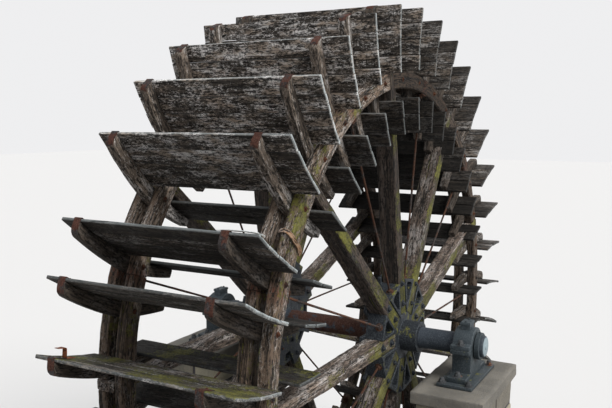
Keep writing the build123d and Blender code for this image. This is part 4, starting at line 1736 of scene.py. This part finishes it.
# Bends of the sliver as (radius, degrees, distance from the rim's face): first over the rim's
# outer edge, with radii from there, and then down its face, with radii from the shaft.
SLIVER_OVER_EDGE = (
    (-0.012, 30.75, 0.150), (0.0, 31.00, 0.115), (0.0, 31.05, 0.080), (0.0, 30.85, 0.045),
    (0.002, 30.45, 0.010), (-0.010, 30.05, -0.016),
)
SLIVER_DOWN_FACE = (
    (3.225, 29.75, -0.022), (3.170, 29.55, -0.022), (3.110, 29.35, -0.018),
    (3.065, 28.80, -0.014), (3.052, 28.10, -0.006),
)


class WHEEL_OT_damage(bpy.types.Operator):
    """Torn strap on the mossy paddle, splinters on the split one and a sliver on the near rim"""

    bl_idname = "mill_wheel.damage"
    bl_label = "Damage"

    def execute(self, context):
        sizes = context.scene.wheel_sizes
        angles = paddle_angles(sizes)
        low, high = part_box("tip_straps_far")
        front = board_height(sizes, 3.86, 0.0)
        path = [
            wheel_point(angles[MOSSY_PADDLE], radius, front + lift, 0.0)
            for radius, lift in TORN_STRAP
        ]
        strap = PieceMesh()
        add_band(strap, path, 0.5 * (low.y + high.y) - 0.02, 0.050, 0.006, 77, 0.006)
        strap.make("torn_strap", finish_for("torn_strap_iron"), WHEEL)
        splinters = PieceMesh()
        y_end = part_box("outer_boards_9")[0].y
        for splinter in SPLINTERS:
            add_splinter(sizes, splinters, angles[SPLIT_PADDLE], y_end, *splinter)
        torn = finish_for("oak_torn")
        splinters.make("split_plank_splinters", torn, WHEEL)
        sliver = PieceMesh()
        add_sliver(sizes, sliver)
        sliver.make("torn_sliver", finish_for("oak_sliver"), WHEEL)
        return {"FINISHED"}


def add_splinter(sizes, mesh, angle, y_end, bends, half_width, half_thick, seed):
    """Splinter along a plank's face."""
    stations = []
    for radius, lift, back in bends:
        narrow = 0.35 if back == bends[-1][2] else 1.0
        height = board_height(sizes, radius, 0.0) + lift
        stations.append(Station(
            wheel_point(angle, radius, height, y_end + back), outward(angle), upward(angle),
            half_width * narrow, half_thick * narrow, back, 0.7,
        ))
    add_timber(mesh, stations, SPLINTER._replace(seed=seed))


def add_sliver(sizes, mesh):
    """Sliver torn from the near rim, bent over its outer edge."""
    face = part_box("outer_felloes_near")[0].y
    edge = sizes.rim_outer + 0.014
    bends = [(edge + ahead, degrees, face + y) for ahead, degrees, y in SLIVER_OVER_EDGE]
    bends += [(radius, degrees, face + y) for radius, degrees, y in SLIVER_DOWN_FACE]
    places = [wheel_point(radians(turn), radius, 0.0, y) for radius, turn, y in bends]
    stations = []
    for index, place in enumerate(places):
        run = places[min(index + 1, len(places) - 1)] - places[max(index - 1, 0)]
        _, turn, y = bends[index]
        lift = outward(radians(turn)) - ALONG_SHAFT * (1.0 if y < face + 0.02 else 0.2)
        across = run.cross(lift).normalized()
        thin = 0.35 if index in (0, len(places) - 1) else 1.0
        stations.append(Station(
            place, across, across.cross(run).normalized(), SLIVER_HALF_WIDTH * thin,
            SLIVER_HALF_THICK * thin, index * 0.04,
        ))
    add_timber(mesh, stations, SLIVER)


class WHEEL_OT_stage(bpy.types.Operator):
    """Pale floor, soft light and the camera"""

    bl_idname = "mill_wheel.stage"
    bl_label = "Stage"

    def execute(self, context):
        scene = context.scene
        settings = scene.stage_settings
        reach = 120.0
        corners = [(-reach, -reach, 0.0), (reach, -reach, 0.0), (reach, reach, 0.0)]
        corners.append((-reach, reach, 0.0))
        mesh = bpy.data.meshes.new("floor")
        mesh.from_pydata(corners, [], [(0, 1, 2, 3)])
        mesh.materials.append(floor_material(settings))
        floor = bpy.data.objects.new("floor", mesh)
        scene.collection.objects.link(floor)
        scene.world = studio_world(settings)
        light = bpy.data.lights.new("main_light", "SUN")
        light.energy = settings.sun
        light.angle = radians(35.0)
        light.color = (1.0, 0.985, 0.96)
        sun = bpy.data.objects.new("main_light", light)
        sun.rotation_euler = Vector((0.20, 0.72, -0.66)).to_track_quat("-Z", "Y").to_euler()
        scene.collection.objects.link(sun)
        lens = bpy.data.cameras.new("photo_camera")
        lens.lens = settings.lens
        lens.sensor_width = 36.0
        lens.sensor_fit = "HORIZONTAL"
        lens.clip_end = 500.0
        camera = bpy.data.objects.new("photo_camera", lens)
        camera.location = settings.eye
        camera.rotation_euler = Vector(settings.look).to_track_quat("-Z", "Y").to_euler()
        scene.collection.objects.link(camera)
        scene.camera = camera
        scene.view_settings.view_transform = "Standard"
        return {"FINISHED"}


def studio_world(settings):
    """Soft light from all round, with a plain pale backdrop where the camera sees it."""
    world = bpy.data.worlds.new("studio")
    world.use_nodes = True
    world.node_tree.nodes.clear()
    desk = NodeDesk(world.node_tree)
    path = desk.put("ShaderNodeLightPath").outputs
    seen = desk.math("MAXIMUM", path["Is Camera Ray"], path["Is Transmission Ray"])
    seen = desk.math("MAXIMUM", seen, path["Is Glossy Ray"])
    soft = desk.put("ShaderNodeBackground", {"Color": SOFT_SKY, "Strength": settings.sky})
    plain = desk.put("ShaderNodeBackground", {"Color": PALE_BACKDROP, "Strength": 1.0})
    join = desk.put("ShaderNodeMixShader", {0: seen, 1: soft.outputs[0], 2: plain.outputs[0]})
    desk.put("ShaderNodeOutputWorld", {"Surface": join.outputs[0]})
    return world


def floor_material(settings):
    """Pale floor that throws little light back up."""
    material, desk, shader = new_material("floor")
    path = desk.put("ShaderNodeLightPath").outputs
    seen = desk.math("MAXIMUM", path["Is Camera Ray"], path["Is Glossy Ray"])
    color = desk.blend(seen, FLOOR_IN_BOUNCE, paint(settings.floor))
    desk.feed(shader, {"Base Color": color, "Roughness": 0.9})
    return material


STEPS = (
    WHEEL_OT_outer_planks, WHEEL_OT_inner_planks, WHEEL_OT_starts, WHEEL_OT_tip_straps,
    WHEEL_OT_spokes, WHEEL_OT_felloes, WHEEL_OT_tie_rods, WHEEL_OT_hubs, WHEEL_OT_shaft,
    WHEEL_OT_bearings, WHEEL_OT_piers, WHEEL_OT_damage, WHEEL_OT_stage,
)


class WHEEL_PT_panel(bpy.types.Panel):
    """Lists the pieces of the mill wheel"""

    bl_label = "Mill Wheel"
    bl_idname = "WHEEL_PT_panel"
    bl_space_type = "VIEW_3D"
    bl_region_type = "UI"
    bl_category = "Mill Wheel"

    def draw(self, context):
        for step in STEPS:
            self.layout.operator(step.bl_idname)
        scene = context.scene
        for group in (scene.wheel_sizes, scene.wheel_colours, scene.stage_settings):
            box = self.layout.box()
            for key in group.__annotations__:
                box.prop(group, key)


CLASSES = (WheelSizes, WheelColours, StageSettings) + STEPS + (WHEEL_PT_panel,)


def register():
    for cls in CLASSES:
        bpy.utils.register_class(cls)
    bpy.types.Scene.wheel_sizes = PointerProperty(type=WheelSizes)
    bpy.types.Scene.wheel_colours = PointerProperty(type=WheelColours)
    bpy.types.Scene.stage_settings = PointerProperty(type=StageSettings)


def unregister():
    del bpy.types.Scene.stage_settings
    del bpy.types.Scene.wheel_colours
    del bpy.types.Scene.wheel_sizes
    for cls in reversed(CLASSES):
        bpy.utils.unregister_class(cls)


def main():
    register()
    for step in STEPS:
        name = step.bl_idname.split(".")[1]
        result = getattr(bpy.ops.mill_wheel, name)()
        if result != {"FINISHED"}:
            raise RuntimeError(f"{step.bl_label} did not finish")


if __name__ == "__main__":
    main()
